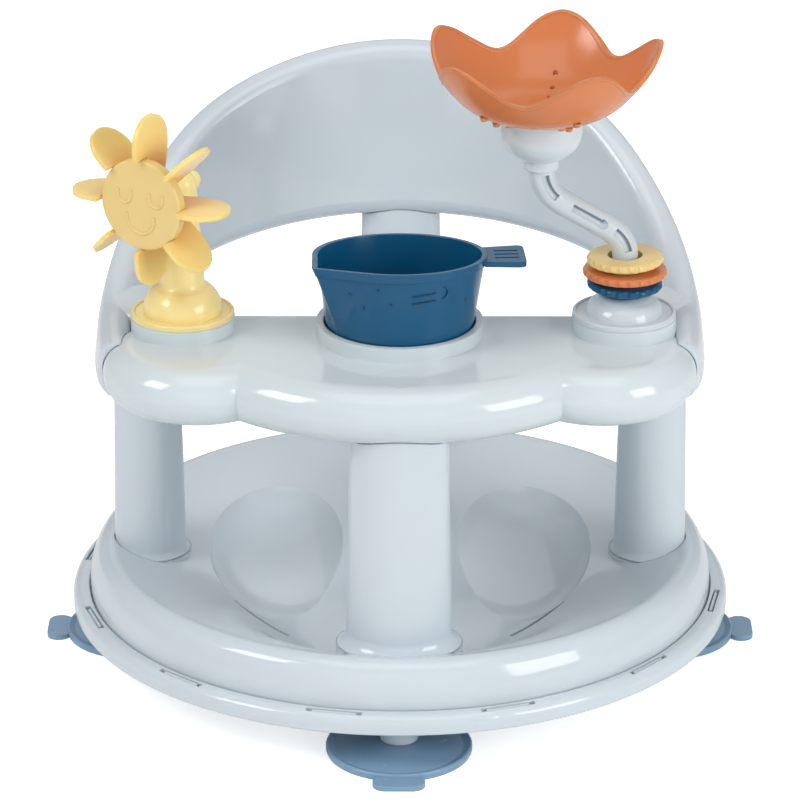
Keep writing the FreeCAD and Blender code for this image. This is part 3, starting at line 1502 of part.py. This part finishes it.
def dish_profile(trim, top_angle):
    """The dish's outline from its floor's rim outward, drawn in by trim, and the centre of its upper curve."""
    low = dish_low_curve
    high = dish_high_curve
    sin_low = sine(dish_low_angle)
    cos_low = cosine(dish_low_angle)
    sin_top = sine(dish_low_angle + top_angle)
    cos_top = cosine(dish_low_angle + top_angle)
    centre = (dish_floor + (low - high) * sin_low, low - (low - high) * cos_low)
    knee = (dish_floor + (low - trim) * sin_low, low - (low - trim) * cos_low)
    lip = (centre[0] + (high - trim) * sin_top, centre[1] - (high - trim) * cos_top)
    return knee, lip


def wave_tool(name):
    """Everything above the dish's wavy edge, a ring-shaped solid between four closed curves."""
    near = dish_floor.value
    far = (dish_floor + dish_high_curve).value
    high = (dish_waist + petal_wave).value * 2
    steps = petal_count * 8
    curves = []
    for radius, level in ((near, 0), (far, 0), (far, high), (near, high)):
        points = []
        for index in range(steps):
            turn = 2 * math.pi * index / steps
            wave = math.cos(petal_count * (turn - math.radians(petal_phase.value)))
            height = level or dish_waist.value + petal_wave.value * wave
            points.append(V(radius * math.cos(turn), radius * math.sin(turn), height))
        curve = Part.BSplineCurve()
        curve.interpolate(points, PeriodicFlag=True)
        curves.append(Part.Wire(curve.toShape()))
    shells = [Part.makeRuledSurface(curves[index - 1], curves[index]) for index in range(len(curves))]
    return made(name, Part.makeSolid(Part.makeShell([face for shell in shells for face in shell.Faces])))


def flower_dish():
    low = dish_low_curve
    high = dish_high_curve
    knee, lip = dish_profile(0 * dish_wall, dish_high_angle)
    inner_knee, inner_lip = dish_profile(dish_wall, dish_high_angle)
    bore_top = dish_wall * 0.4
    hub_low = dish_gap - pin_height
    owner = revolved("flower_dish_body", [
        (0, bore_top),
        (pin_radius + run_gap, bore_top),
        (pin_radius + run_gap, hub_low),
        (dish_hub, hub_low),
        (dish_hub, 0),
        (dish_floor, 0),
        knee + (low, OUTWARD),
        lip + (high, OUTWARD),
        inner_lip,
        inner_knee + (high - dish_wall, INWARD),
        (dish_floor, dish_wall, low - dish_wall, INWARD),
        (0, dish_wall),
    ])
    nozzles = []
    drops = []
    for petal in range(petal_count):
        turn = petal_phase + 360.0 / petal_count * petal
        for row in range(3):
            out = drop_first + drop_pitch * row
            label = "drop_%d_%d" % (petal, row)
            spot = (out * cosine(turn), out * sine(turn))
            under = dish_under(out)
            nozzles.append(part("Part::Cone", label + "_nozzle", spot + (under - drop_nozzle * 0.7,),
                                Radius1=drop_nozzle * 0.75, Radius2=drop_nozzle, Height=drop_nozzle * 0.9))
            drops.append(cylinder(label + "_hole", drop_hole, dish_waist, spot + (under - drop_nozzle * 2,)))
    trimmed = cut("dish_trimmed", owner, [wave_tool("dish_wave")])
    whole = cut("dish_solid", fuse("dish_sum", [trimmed] + nozzles), drops)
    x, y, z = holder_place()
    finish(put(whole, (x, y, z + holder_rise + dish_gap)), "flower_dish")


def dish_under(out):
    """Height of the dish's underside above its floor at a distance from its axis."""
    low = dish_low_curve
    high = dish_high_curve
    knee = dish_floor + low * sine(dish_low_angle)
    if out.value <= knee.value:
        across = out - dish_floor
        return low - root(low * low - across * across)
    centre = (dish_floor + (low - high) * sine(dish_low_angle), low - (low - high) * cosine(dish_low_angle))
    across = out - centre[0]
    return centre[1] - root(high * high - across * across)


def play_ring(label, level, radius, count, lean):
    """A loose ring with a scalloped edge, threaded on the arm."""
    step = play_ring_pitch - play_ring_thick - fit_gap
    round_edge = play_ring_thick / 2
    owner = turned(label + "_body", [
        (play_ring_bore, -step),
        (play_ring_hub, -step),
        (play_ring_hub, 0),
        (radius - round_edge, 0),
        (radius, round_edge, round_edge, OUTWARD),
        (radius - round_edge, play_ring_thick, round_edge, OUTWARD),
        (play_ring_bore, play_ring_thick),
    ])
    notch = sketch(owner, label + "_notch_outline", "XY_Plane", play_ring_thick / 2)
    disc(notch, scallop_radius, (radius + scallop_radius / 3, 0))
    notches = pocket(owner, label + "_notch", notch, play_ring_thick * 2)
    spread_round(owner, label + "_notches", notches, count)
    height = collar_top + toy_flange_thick + flower_dome_rise + step + fit_gap + play_ring_pitch * level
    finish(put(owner, (flower_spread, -toy_forward, height), (0, 1, 0), lean), label)


retaining_ring()
base_plate()
for cup_name, cup_angle in (("right", 0), ("back", 90), ("left", 180), ("front", 270)):
    suction_cup("suction_cup_" + cup_name, cup_angle)
seat_pan()
posts()
front_post()
back_post()
post_screws()
play_tray()
tray_cover()
cover_screws()
backrest()
sun_stand()
sun_axle_pin()
sun_wheel()
sun_face()
sun_knob()
pouring_cup()
flower_stand()
flower_arm()
flower_holder()
flower_dish()
for ring_name, ring_radius_size, ring_level, ring_notches, ring_lean in (
        ("ring_blue", blue_radius, 0, 20, 1.2),
        ("ring_orange", orange_radius, 1, 24, 0),
        ("ring_yellow", yellow_radius, 2, 24, -1.2)):
    play_ring(ring_name, ring_level, ring_radius_size, ring_notches, ring_lean)

doc.recompute()
failed = []
for item in doc.Objects:
    if "Invalid" in item.State or "Error" in item.State:
        failed.append("%s %s" % (item.Name, item.getStatusString()))
for item in PIECES:
    if item.Shape.isNull() or not item.Shape.isValid():
        failed.append("%s has no valid shape" % item.Label)
if failed:
    raise SystemExit("not written: " + "; ".join(failed))
for item in PIECES:
    item.Shape.exportStep("parts/%s.step" % item.Label)
    print("%-20s %2d solids %9.1f mm3" % (item.Label, len(item.Shape.Solids), item.Shape.Volume))
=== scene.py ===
import math

import bmesh
import bpy
from mathutils import Matrix, Vector


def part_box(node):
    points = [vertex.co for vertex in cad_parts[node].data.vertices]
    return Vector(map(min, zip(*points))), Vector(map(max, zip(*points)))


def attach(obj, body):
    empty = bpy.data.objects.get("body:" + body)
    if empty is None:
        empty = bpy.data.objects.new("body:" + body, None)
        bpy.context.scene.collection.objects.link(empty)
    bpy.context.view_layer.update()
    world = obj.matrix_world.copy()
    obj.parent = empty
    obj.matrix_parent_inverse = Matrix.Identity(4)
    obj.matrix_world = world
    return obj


# Looks of the swivel baby bath seat. Metres, Z up, X to the right, the play tray towards -Y.
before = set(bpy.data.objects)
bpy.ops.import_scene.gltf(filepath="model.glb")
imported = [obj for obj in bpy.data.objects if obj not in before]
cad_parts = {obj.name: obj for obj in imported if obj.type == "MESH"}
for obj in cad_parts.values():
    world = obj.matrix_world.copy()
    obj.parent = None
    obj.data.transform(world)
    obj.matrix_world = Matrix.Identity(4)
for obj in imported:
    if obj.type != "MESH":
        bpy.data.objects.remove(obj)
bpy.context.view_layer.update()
MM = 0.001

# Camera, worked out from the photograph
CAMERA_TARGET = Vector((0, 0, 0.1418))
CAMERA_DISTANCE = 2.4095
CAMERA_TILT = 22.05
CAMERA_TURN = 0.19
CAMERA_LENS = 194.05
CAMERA_FAR = 100

# Soft boxes: azimuth from the front to the right, height angle, distance, width, power
SOFT_BOXES = (
    ("window_right", 52, 19, 2.2, 1.0, 18.5),
    ("window_left", -60, 40, 2.2, 0.8, 15.5),
    ("front_fill", 0, 6, 2.6, 2.0, 5),
    ("sky_panel", 0, 75, 2.0, 1.4, 9),
    ("rear_panel", 175, 40, 2.4, 1.8, 5),
)

# The sky's light on the part, and the plain white that the camera sees behind it
SKY_LEVEL = 0.37
SKY_SEEN = 1
SKY_COLOUR = (1, 1, 1, 1)

# The floor's half width, and its own glow as the camera sees it and as the part does
FLOOR_REACH = 14
FLOOR_LIFT = 0.6
FLOOR_BOUNCE = 0.16

# The sockets of a Mix node that carry colours
MIX_FIRST = 6
MIX_SECOND = 7
MIX_RESULT = 2

# How finely the materials round an edge, and how finely beads are made
EDGE_SAMPLES = 6
TUBE_FINENESS = 5
BEAD_SPLITS = 3


# The curve between a screen's levels and linear light
SCREEN_FULL = 255
SCREEN_KNEE = 0.04045
SCREEN_SLOPE = 12.92
SCREEN_LIFT = 0.055
SCREEN_POWER = 2.4


def paint(*levels):
    """A colour as a screen shows it, red, green and blue, as the linear colour that the shaders want."""
    colour = []
    for level in levels:
        share = level / SCREEN_FULL
        if share <= SCREEN_KNEE:
            colour.append(share / SCREEN_SLOPE)
        else:
            colour.append(((share + SCREEN_LIFT) / (1 + SCREEN_LIFT)) ** SCREEN_POWER)
    return (*colour, 1)


class Finish:
    """A material in the making, with short ways to add nodes to it and join them."""

    def __init__(self, name):
        self.material = bpy.data.materials.new(name)
        self.material.use_nodes = True
        self.tree = self.material.node_tree
        self.shader = self.tree.nodes["Principled BSDF"]
        self.place = self.tree.nodes.new("ShaderNodeTexCoord").outputs["Object"]

    def join(self, source, target):
        self.tree.links.new(source, target)

    def set(self, **values):
        for key, value in values.items():
            self.shader.inputs[key.replace("_", " ")].default_value = value

    def noise(self, scale, detail):
        """Noise over the piece, with its scale per metre."""
        item = self.tree.nodes.new("ShaderNodeTexNoise")
        item.inputs["Scale"].default_value = scale
        item.inputs["Detail"].default_value = detail
        self.join(self.place, item.inputs["Vector"])
        return item.outputs["Fac"]

    def spread(self, source, low, high, start=0.3, end=0.7):
        """Maps the source's values from start to end on to the range from low to high."""
        item = self.tree.nodes.new("ShaderNodeMapRange")
        item.inputs["From Min"].default_value = start
        item.inputs["From Max"].default_value = end
        item.inputs["To Min"].default_value = low
        item.inputs["To Max"].default_value = high
        self.join(source, item.inputs["Value"])
        return item.outputs["Result"]

    def blend(self, factor, first, second):
        """Mixes two colours by the factor."""
        item = self.tree.nodes.new("ShaderNodeMix")
        item.data_type = "RGBA"
        self.join(factor, item.inputs["Factor"])
        item.inputs[MIX_FIRST].default_value = first
        item.inputs[MIX_SECOND].default_value = second
        return item.outputs[MIX_RESULT]

    def soften(self, radius):
        """The normal with edges rounded by the radius."""
        item = self.tree.nodes.new("ShaderNodeBevel")
        item.samples = EDGE_SAMPLES
        item.inputs["Radius"].default_value = radius
        return item.outputs["Normal"]

    def bump(self, height, strength, distance, normal):
        """The normal with the height's relief added to it."""
        item = self.tree.nodes.new("ShaderNodeBump")
        item.inputs["Strength"].default_value = strength
        item.inputs["Distance"].default_value = distance
        self.join(height, item.inputs["Height"])
        self.join(normal, item.inputs["Normal"])
        return item.outputs["Normal"]


# What all moulded pieces share: the depth of their skin, how much their gloss varies, and how light goes in
SKIN_DEPTH = 0.2 * MM
SKIN_GRAIN = 0.012
GLOSS_RISE = 0.06
PLASTIC_IOR = 1.49
GLOW_COLOUR = (1.0, 0.8, 0.6)


def moulded(name, shade, deep, gloss, edge, glow=0.0, glow_depth=2 * MM, shine=0.5):
    """Moulded plastic: faint flow marks in its colour, a fine skin in its gloss, and soft edges."""
    made = Finish(name)
    flow = made.spread(made.noise(scale=9, detail=4), 0, 1)
    fine = made.noise(scale=420, detail=5)
    made.join(made.blend(flow, shade, deep), made.shader.inputs["Base Color"])
    haze = made.spread(made.noise(scale=60, detail=6), gloss, gloss + GLOSS_RISE)
    made.join(haze, made.shader.inputs["Roughness"])
    skin = made.bump(fine, SKIN_GRAIN, SKIN_DEPTH, made.soften(edge))
    made.join(skin, made.shader.inputs["Normal"])
    made.set(Subsurface_Weight=glow, Subsurface_Scale=glow_depth, IOR=PLASTIC_IOR, Specular_IOR_Level=shine)
    made.shader.inputs["Subsurface Radius"].default_value = GLOW_COLOUR
    return made


def middle_of(node):
    """The middle of a node's own mesh, in the mesh's own space."""
    spots = [vertex.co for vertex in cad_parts[node].data.vertices]
    middle = []
    for axis in range(3):
        along = [spot[axis] for spot in spots]
        middle.append((min(along) + max(along)) / 2)
    return middle


def moulded_blades(name, node, near, far, root, tip, **finish):
    """Moulded plastic with painted shade: deeper in colour towards a wheel's hub, where the blades shade one
    another.
    """
    made = moulded(name, far, far, **finish)
    gap = made.tree.nodes.new("ShaderNodeVectorMath")
    gap.operation = "DISTANCE"
    gap.inputs[1].default_value = middle_of(node)
    made.join(made.place, gap.inputs[0])
    reach = made.spread(gap.outputs["Value"], 0, 1, root, tip)
    flow = made.spread(made.noise(scale=30, detail=4), 0.9, 1)
    both = made.tree.nodes.new("ShaderNodeMath")
    both.operation = "MULTIPLY"
    made.join(reach, both.inputs[0])
    made.join(flow, both.inputs[1])
    made.join(made.blend(both.outputs[0], near, far), made.shader.inputs["Base Color"])
    return made


def turned_steel(name, bright, dull):
    """Bright zinc on a small fastener, with fine turning marks and a duller patina."""
    made = Finish(name)
    marks = made.noise(scale=1500, detail=2)
    patina = made.noise(scale=300, detail=4)
    made.join(made.blend(patina, bright, dull), made.shader.inputs["Base Color"])
    made.join(made.spread(marks, low=0.22, high=0.42), made.shader.inputs["Roughness"])
    relief = made.bump(marks, strength=0.15, distance=0.1 * MM, normal=made.soften(0.3 * MM))
    made.join(relief, made.shader.inputs["Normal"])
    made.set(Metallic=1.0)
    return made


SHELL = moulded(
    "shell_plastic", paint(208, 217, 224), paint(205, 215, 222),
    gloss=0.06, edge=1.2 * MM, glow=0.05)
TRAY = moulded(
    "tray_plastic", paint(210, 220, 224), paint(207, 218, 222),
    gloss=0.08, edge=1.6 * MM, glow=0.05)
TOY_BASE = moulded(
    "toy_base_plastic", paint(209, 218, 224), paint(205, 215, 221),
    gloss=0.1, edge=0.9 * MM, glow=0.05)
# Painted shade: a dark grey for the tubes that stand in for the shadowed walls of the arm's slots
SLOT_PAINTED_SHADE = moulded(
    "slot_painted_shade_plastic", paint(118, 132, 146), paint(110, 124, 138),
    gloss=0.4, edge=0.3 * MM)
RUBBER = moulded(
    "suction_rubber", paint(130, 162, 189), paint(124, 156, 183),
    gloss=0.22, edge=0.8 * MM, glow=0.4, glow_depth=6 * MM)
YELLOW = moulded(
    "yellow_plastic", paint(255, 234, 166), paint(253, 230, 158),
    gloss=0.12, edge=0.6 * MM, glow=0.25, glow_depth=4 * MM)
FACE = moulded(
    "face_plastic", paint(236, 209, 140), paint(233, 205, 134),
    gloss=0.18, edge=0.6 * MM, glow=0.2, glow_depth=3 * MM)
# Painted shade on the mill's blades: the first, deeper orange colour near the hub stands for the shade the
# blades cast on one another
MILL = moulded_blades(
    "mill_plastic", "sun_wheel", paint(228, 164, 78), paint(251, 219, 140), 12 * MM, 36 * MM,
    gloss=0.2, edge=0.6 * MM, glow=0.5, glow_depth=6 * MM)
PETROL = moulded(
    "petrol_plastic", paint(16, 88, 128), paint(12, 82, 122),
    gloss=0.2, edge=0.6 * MM, glow=0.05, shine=0.4)
# Painted shade: a darker petrol for the cup's fine lines and eye, standing for the shade in grooves and a
# dimple
PETROL_PAINTED_SHADE = moulded(
    "petrol_shade_plastic", paint(10, 62, 92), paint(8, 56, 85),
    gloss=0.34, edge=0.3 * MM, glow=0.05)
ORANGE = moulded(
    "orange_plastic", paint(217, 134, 84), paint(213, 129, 78),
    gloss=0.18, edge=0.8 * MM, glow=0.3, glow_depth=4 * MM)
PIN = moulded(
    "pin_plastic", paint(226, 200, 132), paint(219, 192, 124),
    gloss=0.24, edge=0.3 * MM)
STEEL = turned_steel("screw_steel", paint(176, 178, 180), paint(142, 144, 148))

FINISHES = {
    SHELL: ("retaining_ring", "base_plate", "seat_pan", "left_post", "right_post", "front_post", "back_post",
            "backrest"),
    TRAY: ("play_tray", "tray_cover"),
    TOY_BASE: ("flower_stand", "flower_arm", "flower_holder"),
    RUBBER: ("suction_cup_front", "suction_cup_back", "suction_cup_left", "suction_cup_right"),
    YELLOW: ("sun_stand", "sun_knob"),
    FACE: ("sun_face", "ring_yellow"),
    MILL: ("sun_wheel",),
    PETROL: ("pouring_cup", "ring_blue"),
    ORANGE: ("flower_dish", "ring_orange"),
    PIN: ("sun_axle",),
    STEEL: ("post_screws", "cover_screws"),
}


def dress_nodes():
    """Gives each of the frame's nodes its material."""
    for finish, names in FINISHES.items():
        for name in names:
            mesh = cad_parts[name].data
            mesh.materials.clear()
            mesh.materials.append(finish.material)


def on_circle(centre, radius, turn, level):
    """A place on a level circle, by its turn from the right in radians."""
    return centre[0] + radius * math.cos(turn), centre[1] + radius * math.sin(turn), level


def tube(name, points, radius, closed, finish, body):
    """A round bead along a line of points."""
    curve = bpy.data.curves.new(name, "CURVE")
    curve.dimensions = "3D"
    curve.bevel_depth = radius
    curve.bevel_resolution = TUBE_FINENESS
    curve.use_fill_caps = True
    spline = curve.splines.new("POLY")
    spline.points.add(len(points) - 1)
    for knot, point in zip(spline.points, points):
        knot.co = (*point, 1)
    spline.use_cyclic_u = closed
    spline.use_smooth = True
    item = bpy.data.objects.new(name, curve)
    bpy.context.scene.collection.objects.link(item)
    curve.materials.append(finish.material)
    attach(item, body)


def beads(name, places, radius, finish, body):
    """Small round beads at the given places, in one piece."""
    mesh = bpy.data.meshes.new(name)
    shape = bmesh.new()
    for place in places:
        spot = Matrix.Translation(place)
        bmesh.ops.create_icosphere(shape, subdivisions=BEAD_SPLITS, radius=radius, matrix=spot)
    shape.to_mesh(mesh)
    shape.free()
    item = bpy.data.objects.new(name, mesh)
    bpy.context.scene.collection.objects.link(item)
    mesh.materials.append(finish.material)
    mesh.polygons.foreach_set("use_smooth", [True] * len(mesh.polygons))
    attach(item, body)


# The dish's wavy edge, as in the frame, and the bead on it
DISH_PETALS = 5
DISH_PHASE = 6.3
DISH_WAIST = 30.5 * MM
DISH_WAVE = 9 * MM
DISH_CURVE = 90 * MM
DISH_CURVE_IN = -18.84 * MM
DISH_CURVE_UP = 73.51 * MM
DISH_WALL = 2.2 * MM
RIM_BEAD = 1.35 * MM
RIM_STEPS_A_PETAL = 48
RIM_STEPS = DISH_PETALS * RIM_STEPS_A_PETAL


def dish_rim():
    """The thick rounded lip that follows the dish's edge."""
    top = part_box("flower_dish")[1].z
    hub_low, hub_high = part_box("flower_holder")
    centre = (hub_low + hub_high) / 2
    base = top - DISH_WAIST - DISH_WAVE
    skin = DISH_CURVE - DISH_WALL / 2
    points = []
    for index in range(RIM_STEPS):
        turn = 2 * math.pi * index / RIM_STEPS
        wave = DISH_WAVE * math.cos(DISH_PETALS * (turn - math.radians(DISH_PHASE)))
        level = DISH_WAIST + wave - RIM_BEAD
        across = math.sqrt(skin ** 2 - (level - DISH_CURVE_UP) ** 2) + DISH_CURVE_IN
        points.append(on_circle(centre, across, turn, base + level))
    tube("dish_rim", points, RIM_BEAD, True, ORANGE, "dish")


# The cup's wall, as in the frame
CUP_FOOT = 35.6 * MM
CUP_DRAFT = 9
CUP_SLOPE = math.tan(math.radians(CUP_DRAFT))
CUP_FORWARD = 57 * MM

# The cup's relief: places are angles from the front in degrees and heights over the floor in millimetres
RELIEF = 0.8 * MM
RELIEF_DOTS = ((-37, 57), (-27, 50), (-15, 61.5), (-6, 53.5))
DOT_SINK = RELIEF * 0.5
RELIEF_LINES = ((17.5, 59), (17.5, 54.8))
RELIEF_LINE_HALF = 8.5
RELIEF_LINE_BOW = 0.5
LINE_RADIUS = RELIEF * 0.4
LINE_SINK = RELIEF * 0.35
LINE_STEPS = 6
RELIEF_ARC = (32, 59)
RELIEF_ARC_HALF = 3.2
ARC_RADIUS = RELIEF * 0.45
ARC_SINK = RELIEF * 0.3
ARC_START = 100
ARC_SWEEP = 200
ARC_STEPS = 12
RELIEF_EYE = (55, 50.5)
EYE_RADIUS = 1.3 * MM
EYE_SINK = EYE_RADIUS * 0.8


def on_cup(angle, height, sink):
    """A place just under the cup's outer wall, by its angle from the front and height over its floor."""
    floor_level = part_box("pouring_cup")[0].z
    height *= MM
    radius = CUP_FOOT + height * CUP_SLOPE - sink
    turn = math.radians(angle)
    return Vector((radius * math.sin(turn), -CUP_FORWARD - radius * math.cos(turn), floor_level + height))


def cup_relief():
    """A few small raised dots on the cup's front, two fine lines, a short arc and a round bead. The lines and
    the bead are darker with painted shade, as of grooves and a dimple.
    """
    beads("cup_dots", [on_cup(*dot, DOT_SINK) for dot in RELIEF_DOTS], RELIEF, PETROL, "cup")
    for index, (angle, height) in enumerate(RELIEF_LINES):
        points = []
        for step in range(-LINE_STEPS, LINE_STEPS + 1):
            side = RELIEF_LINE_HALF * step / LINE_STEPS
            rise = RELIEF_LINE_BOW * step / LINE_STEPS
            points.append(on_cup(angle + side, height + rise, LINE_SINK))
        tube("cup_line_%d" % index, points, LINE_RADIUS, False, PETROL_PAINTED_SHADE, "cup")
    angle, height = RELIEF_ARC
    arc = []
    for step in range(ARC_STEPS + 1):
        turn = math.radians(ARC_START - ARC_SWEEP * step / ARC_STEPS)
        side = RELIEF_ARC_HALF * math.cos(turn)
        rise = RELIEF_ARC_HALF * math.sin(turn)
        arc.append(on_cup(angle + side, height + rise, ARC_SINK))
    tube("cup_arc", arc, ARC_RADIUS, False, PETROL, "cup")
    beads("cup_eye", [on_cup(*RELIEF_EYE, EYE_SINK)], EYE_RADIUS, PETROL_PAINTED_SHADE, "cup")


# The toys' feet, as in the frame, and the lip on each one's flange
TOY_PEG = 13.7 * MM
TOY_FLANGE = 28 * MM
TOY_FLANGE_THICK = 2.2 * MM
TOY_FORWARD = 50 * MM
SUN_ACROSS = -117.5 * MM
FLOWER_ACROSS = 121.5 * MM
TOY_FEET = (
    ("sun_stand", SUN_ACROSS, YELLOW, "sun_toy"),
    ("flower_stand", FLOWER_ACROSS, TOY_BASE, "flower_toy"),
)
TOY_LIP = 1.1 * MM
TOY_LIP_SINK = TOY_LIP * 0.2
TOY_LIP_INSET = 0.1 * MM
TOY_LIP_STEPS = 96


def toy_lips():
    """The raised round lip on the flange of each toy's foot."""
    reach = TOY_FLANGE - TOY_LIP - TOY_LIP_INSET
    for node, across, finish, body in TOY_FEET:
        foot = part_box(node)[0].z
        level = foot + TOY_PEG + TOY_FLANGE_THICK - TOY_LIP_SINK
        points = []
        for index in range(TOY_LIP_STEPS):
            turn = 2 * math.pi * index / TOY_LIP_STEPS
            points.append(on_circle((across, -TOY_FORWARD), reach, turn, level))
        tube(node + "_lip", points, TOY_LIP, True, finish, body)


# The arm's slots, as in the frame, in millimetres. A curved slot has its name, the centre of its curve across
# from the toy's axis and over the ground, its radius, its first and last angle, and the side of it that the
# painted shade takes. The middle slot has its two ends, and a dark tube of painted shade lies beside its
# slot's middle line
CURVED_SLOTS = (
    ("low", (-18, 246.2), 20.2, 12, 52.8, 1),
    ("high", (-23.42, 296.21), 20.4, 187.2, 228, -1),
)
MIDDLE_SLOT = ((-12.53, 266.37), (-28.98, 275.87))
SLOT_SIDE = 1.1
SLOT_STEPS = 16

# The arm's radius, how far in from its front the dark tubes of painted shade lie, and their own radius
ARM_RADIUS = 7 * MM
SLOT_DEPTH = 2.3 * MM
SLOT_PAINTED_SHADE_RADIUS = 0.85 * MM


def on_arm(across, level):
    """A place in the arm's slots, by millimetres across from the toy's axis and over the ground."""
    return Vector((FLOWER_ACROSS + across * MM, SLOT_DEPTH - TOY_FORWARD - ARM_RADIUS, level * MM))


def arm_painted_slot_shades():
    """Painted shade: dark tubes along the shaded side of each slot in the flower's arm, where the slot's wall
    is in shadow.
    """
    for name, (across, level), radius, first, last, side in CURVED_SLOTS:
        reach = radius + SLOT_SIDE * side
        points = []
        for step in range(SLOT_STEPS + 1):
            turn = math.radians(first + (last - first) * step / SLOT_STEPS)
            points.append(on_arm(across + reach * math.cos(turn), level + reach * math.sin(turn)))
        tube("arm_slot_painted_shade_" + name, points, SLOT_PAINTED_SHADE_RADIUS, False, SLOT_PAINTED_SHADE, "flower_toy")
    (foot_across, foot_level), (top_across, top_level) = MIDDLE_SLOT
    square = math.atan2(top_level - foot_level, top_across - foot_across) - math.pi / 2
    aside = SLOT_SIDE * math.cos(square)
    above = SLOT_SIDE * math.sin(square)
    ends = [on_arm(across + aside, level + above) for across, level in MIDDLE_SLOT]
    tube("arm_slot_painted_shade_middle", ends, SLOT_PAINTED_SHADE_RADIUS, False, SLOT_PAINTED_SHADE, "flower_toy")


def floor():
    """A pale floor that reads as plain white and still takes the object's shadow."""
    mesh = bpy.data.meshes.new("floor")
    reach = FLOOR_REACH
    corners = [(-reach, -reach, 0), (reach, -reach, 0), (reach, reach, 0), (-reach, reach, 0)]
    mesh.from_pydata(corners, [], [(0, 1, 2, 3)])
    item = bpy.data.objects.new("floor", mesh)
    bpy.context.scene.collection.objects.link(item)
    made = Finish("floor_white")
    cloud = made.noise(scale=3, detail=3)
    made.join(made.blend(cloud, paint(236, 236, 236), paint(233, 233, 233)), made.shader.inputs["Base Color"])
    made.set(Roughness=0.9)
    nodes = made.tree.nodes
    glow = nodes.new("ShaderNodeEmission")
    rays = nodes.new("ShaderNodeLightPath")
    seen = nodes.new("ShaderNodeMath")
    seen.operation = "MULTIPLY_ADD"
    seen.inputs[1].default_value = FLOOR_LIFT - FLOOR_BOUNCE
    seen.inputs[2].default_value = FLOOR_BOUNCE
    made.join(rays.outputs["Is Camera Ray"], seen.inputs[0])
    made.join(seen.outputs[0], glow.inputs["Strength"])
    both = nodes.new("ShaderNodeAddShader")
    made.join(made.shader.outputs[0], both.inputs[0])
    made.join(glow.outputs[0], both.inputs[1])
    made.join(both.outputs[0], nodes["Material Output"].inputs["Surface"])
    mesh.materials.append(made.material)


def around(angle, height, distance):
    """A place seen from the camera's target at an angle to the right of the front and a height angle."""
    turn = math.radians(angle)
    tilt = math.radians(height)
    level = math.cos(tilt)
    way = Vector((math.sin(turn) * level, -math.cos(turn) * level, math.sin(tilt)))
    return CAMERA_TARGET + way * distance


def place_and_aim(item, angle, height, distance):
    """Links an object into the scene, places it and turns it to the camera's target."""
    bpy.context.scene.collection.objects.link(item)
    item.location = around(angle, height, distance)
    item.rotation_euler = (CAMERA_TARGET - item.location).to_track_quat("-Z", "Y").to_euler()


def lamps():
    """The soft boxes around the part."""
    for name, angle, height, distance, width, power in SOFT_BOXES:
        lamp = bpy.data.lights.new(name, "AREA")
        lamp.shape = "SQUARE"
        lamp.size = width
        lamp.energy = power
        place_and_aim(bpy.data.objects.new(name, lamp), angle, height, distance)


def sky():
    """An even sky that lights the part, plain white where the camera sees it."""
    world = bpy.data.worlds.new("studio")
    bpy.context.scene.world = world
    world.use_nodes = True
    nodes, links = world.node_tree.nodes, world.node_tree.links
    light = nodes["Background"]
    white = nodes.new("ShaderNodeBackground")
    for shade, strength in ((light, SKY_LEVEL), (white, SKY_SEEN)):
        shade.inputs["Color"].default_value = SKY_COLOUR
        shade.inputs["Strength"].default_value = strength
    rays = nodes.new("ShaderNodeLightPath")
    pick = nodes.new("ShaderNodeMixShader")
    links.new(rays.outputs["Is Camera Ray"], pick.inputs[0])
    links.new(light.outputs[0], pick.inputs[1])
    links.new(white.outputs[0], pick.inputs[2])
    links.new(pick.outputs[0], nodes["World Output"].inputs["Surface"])


def camera():
    """The photograph's camera."""
    data = bpy.data.cameras.new("camera")
    data.lens = CAMERA_LENS
    data.clip_end = CAMERA_FAR
    item = bpy.data.objects.new("camera", data)
    place_and_aim(item, CAMERA_TURN, CAMERA_TILT, CAMERA_DISTANCE)
    bpy.context.scene.camera = item


dress_nodes()
dish_rim()
cup_relief()
toy_lips()
arm_painted_slot_shades()
floor()
lamps()
sky()
camera()
bpy.context.scene.view_settings.view_transform = "Standard"
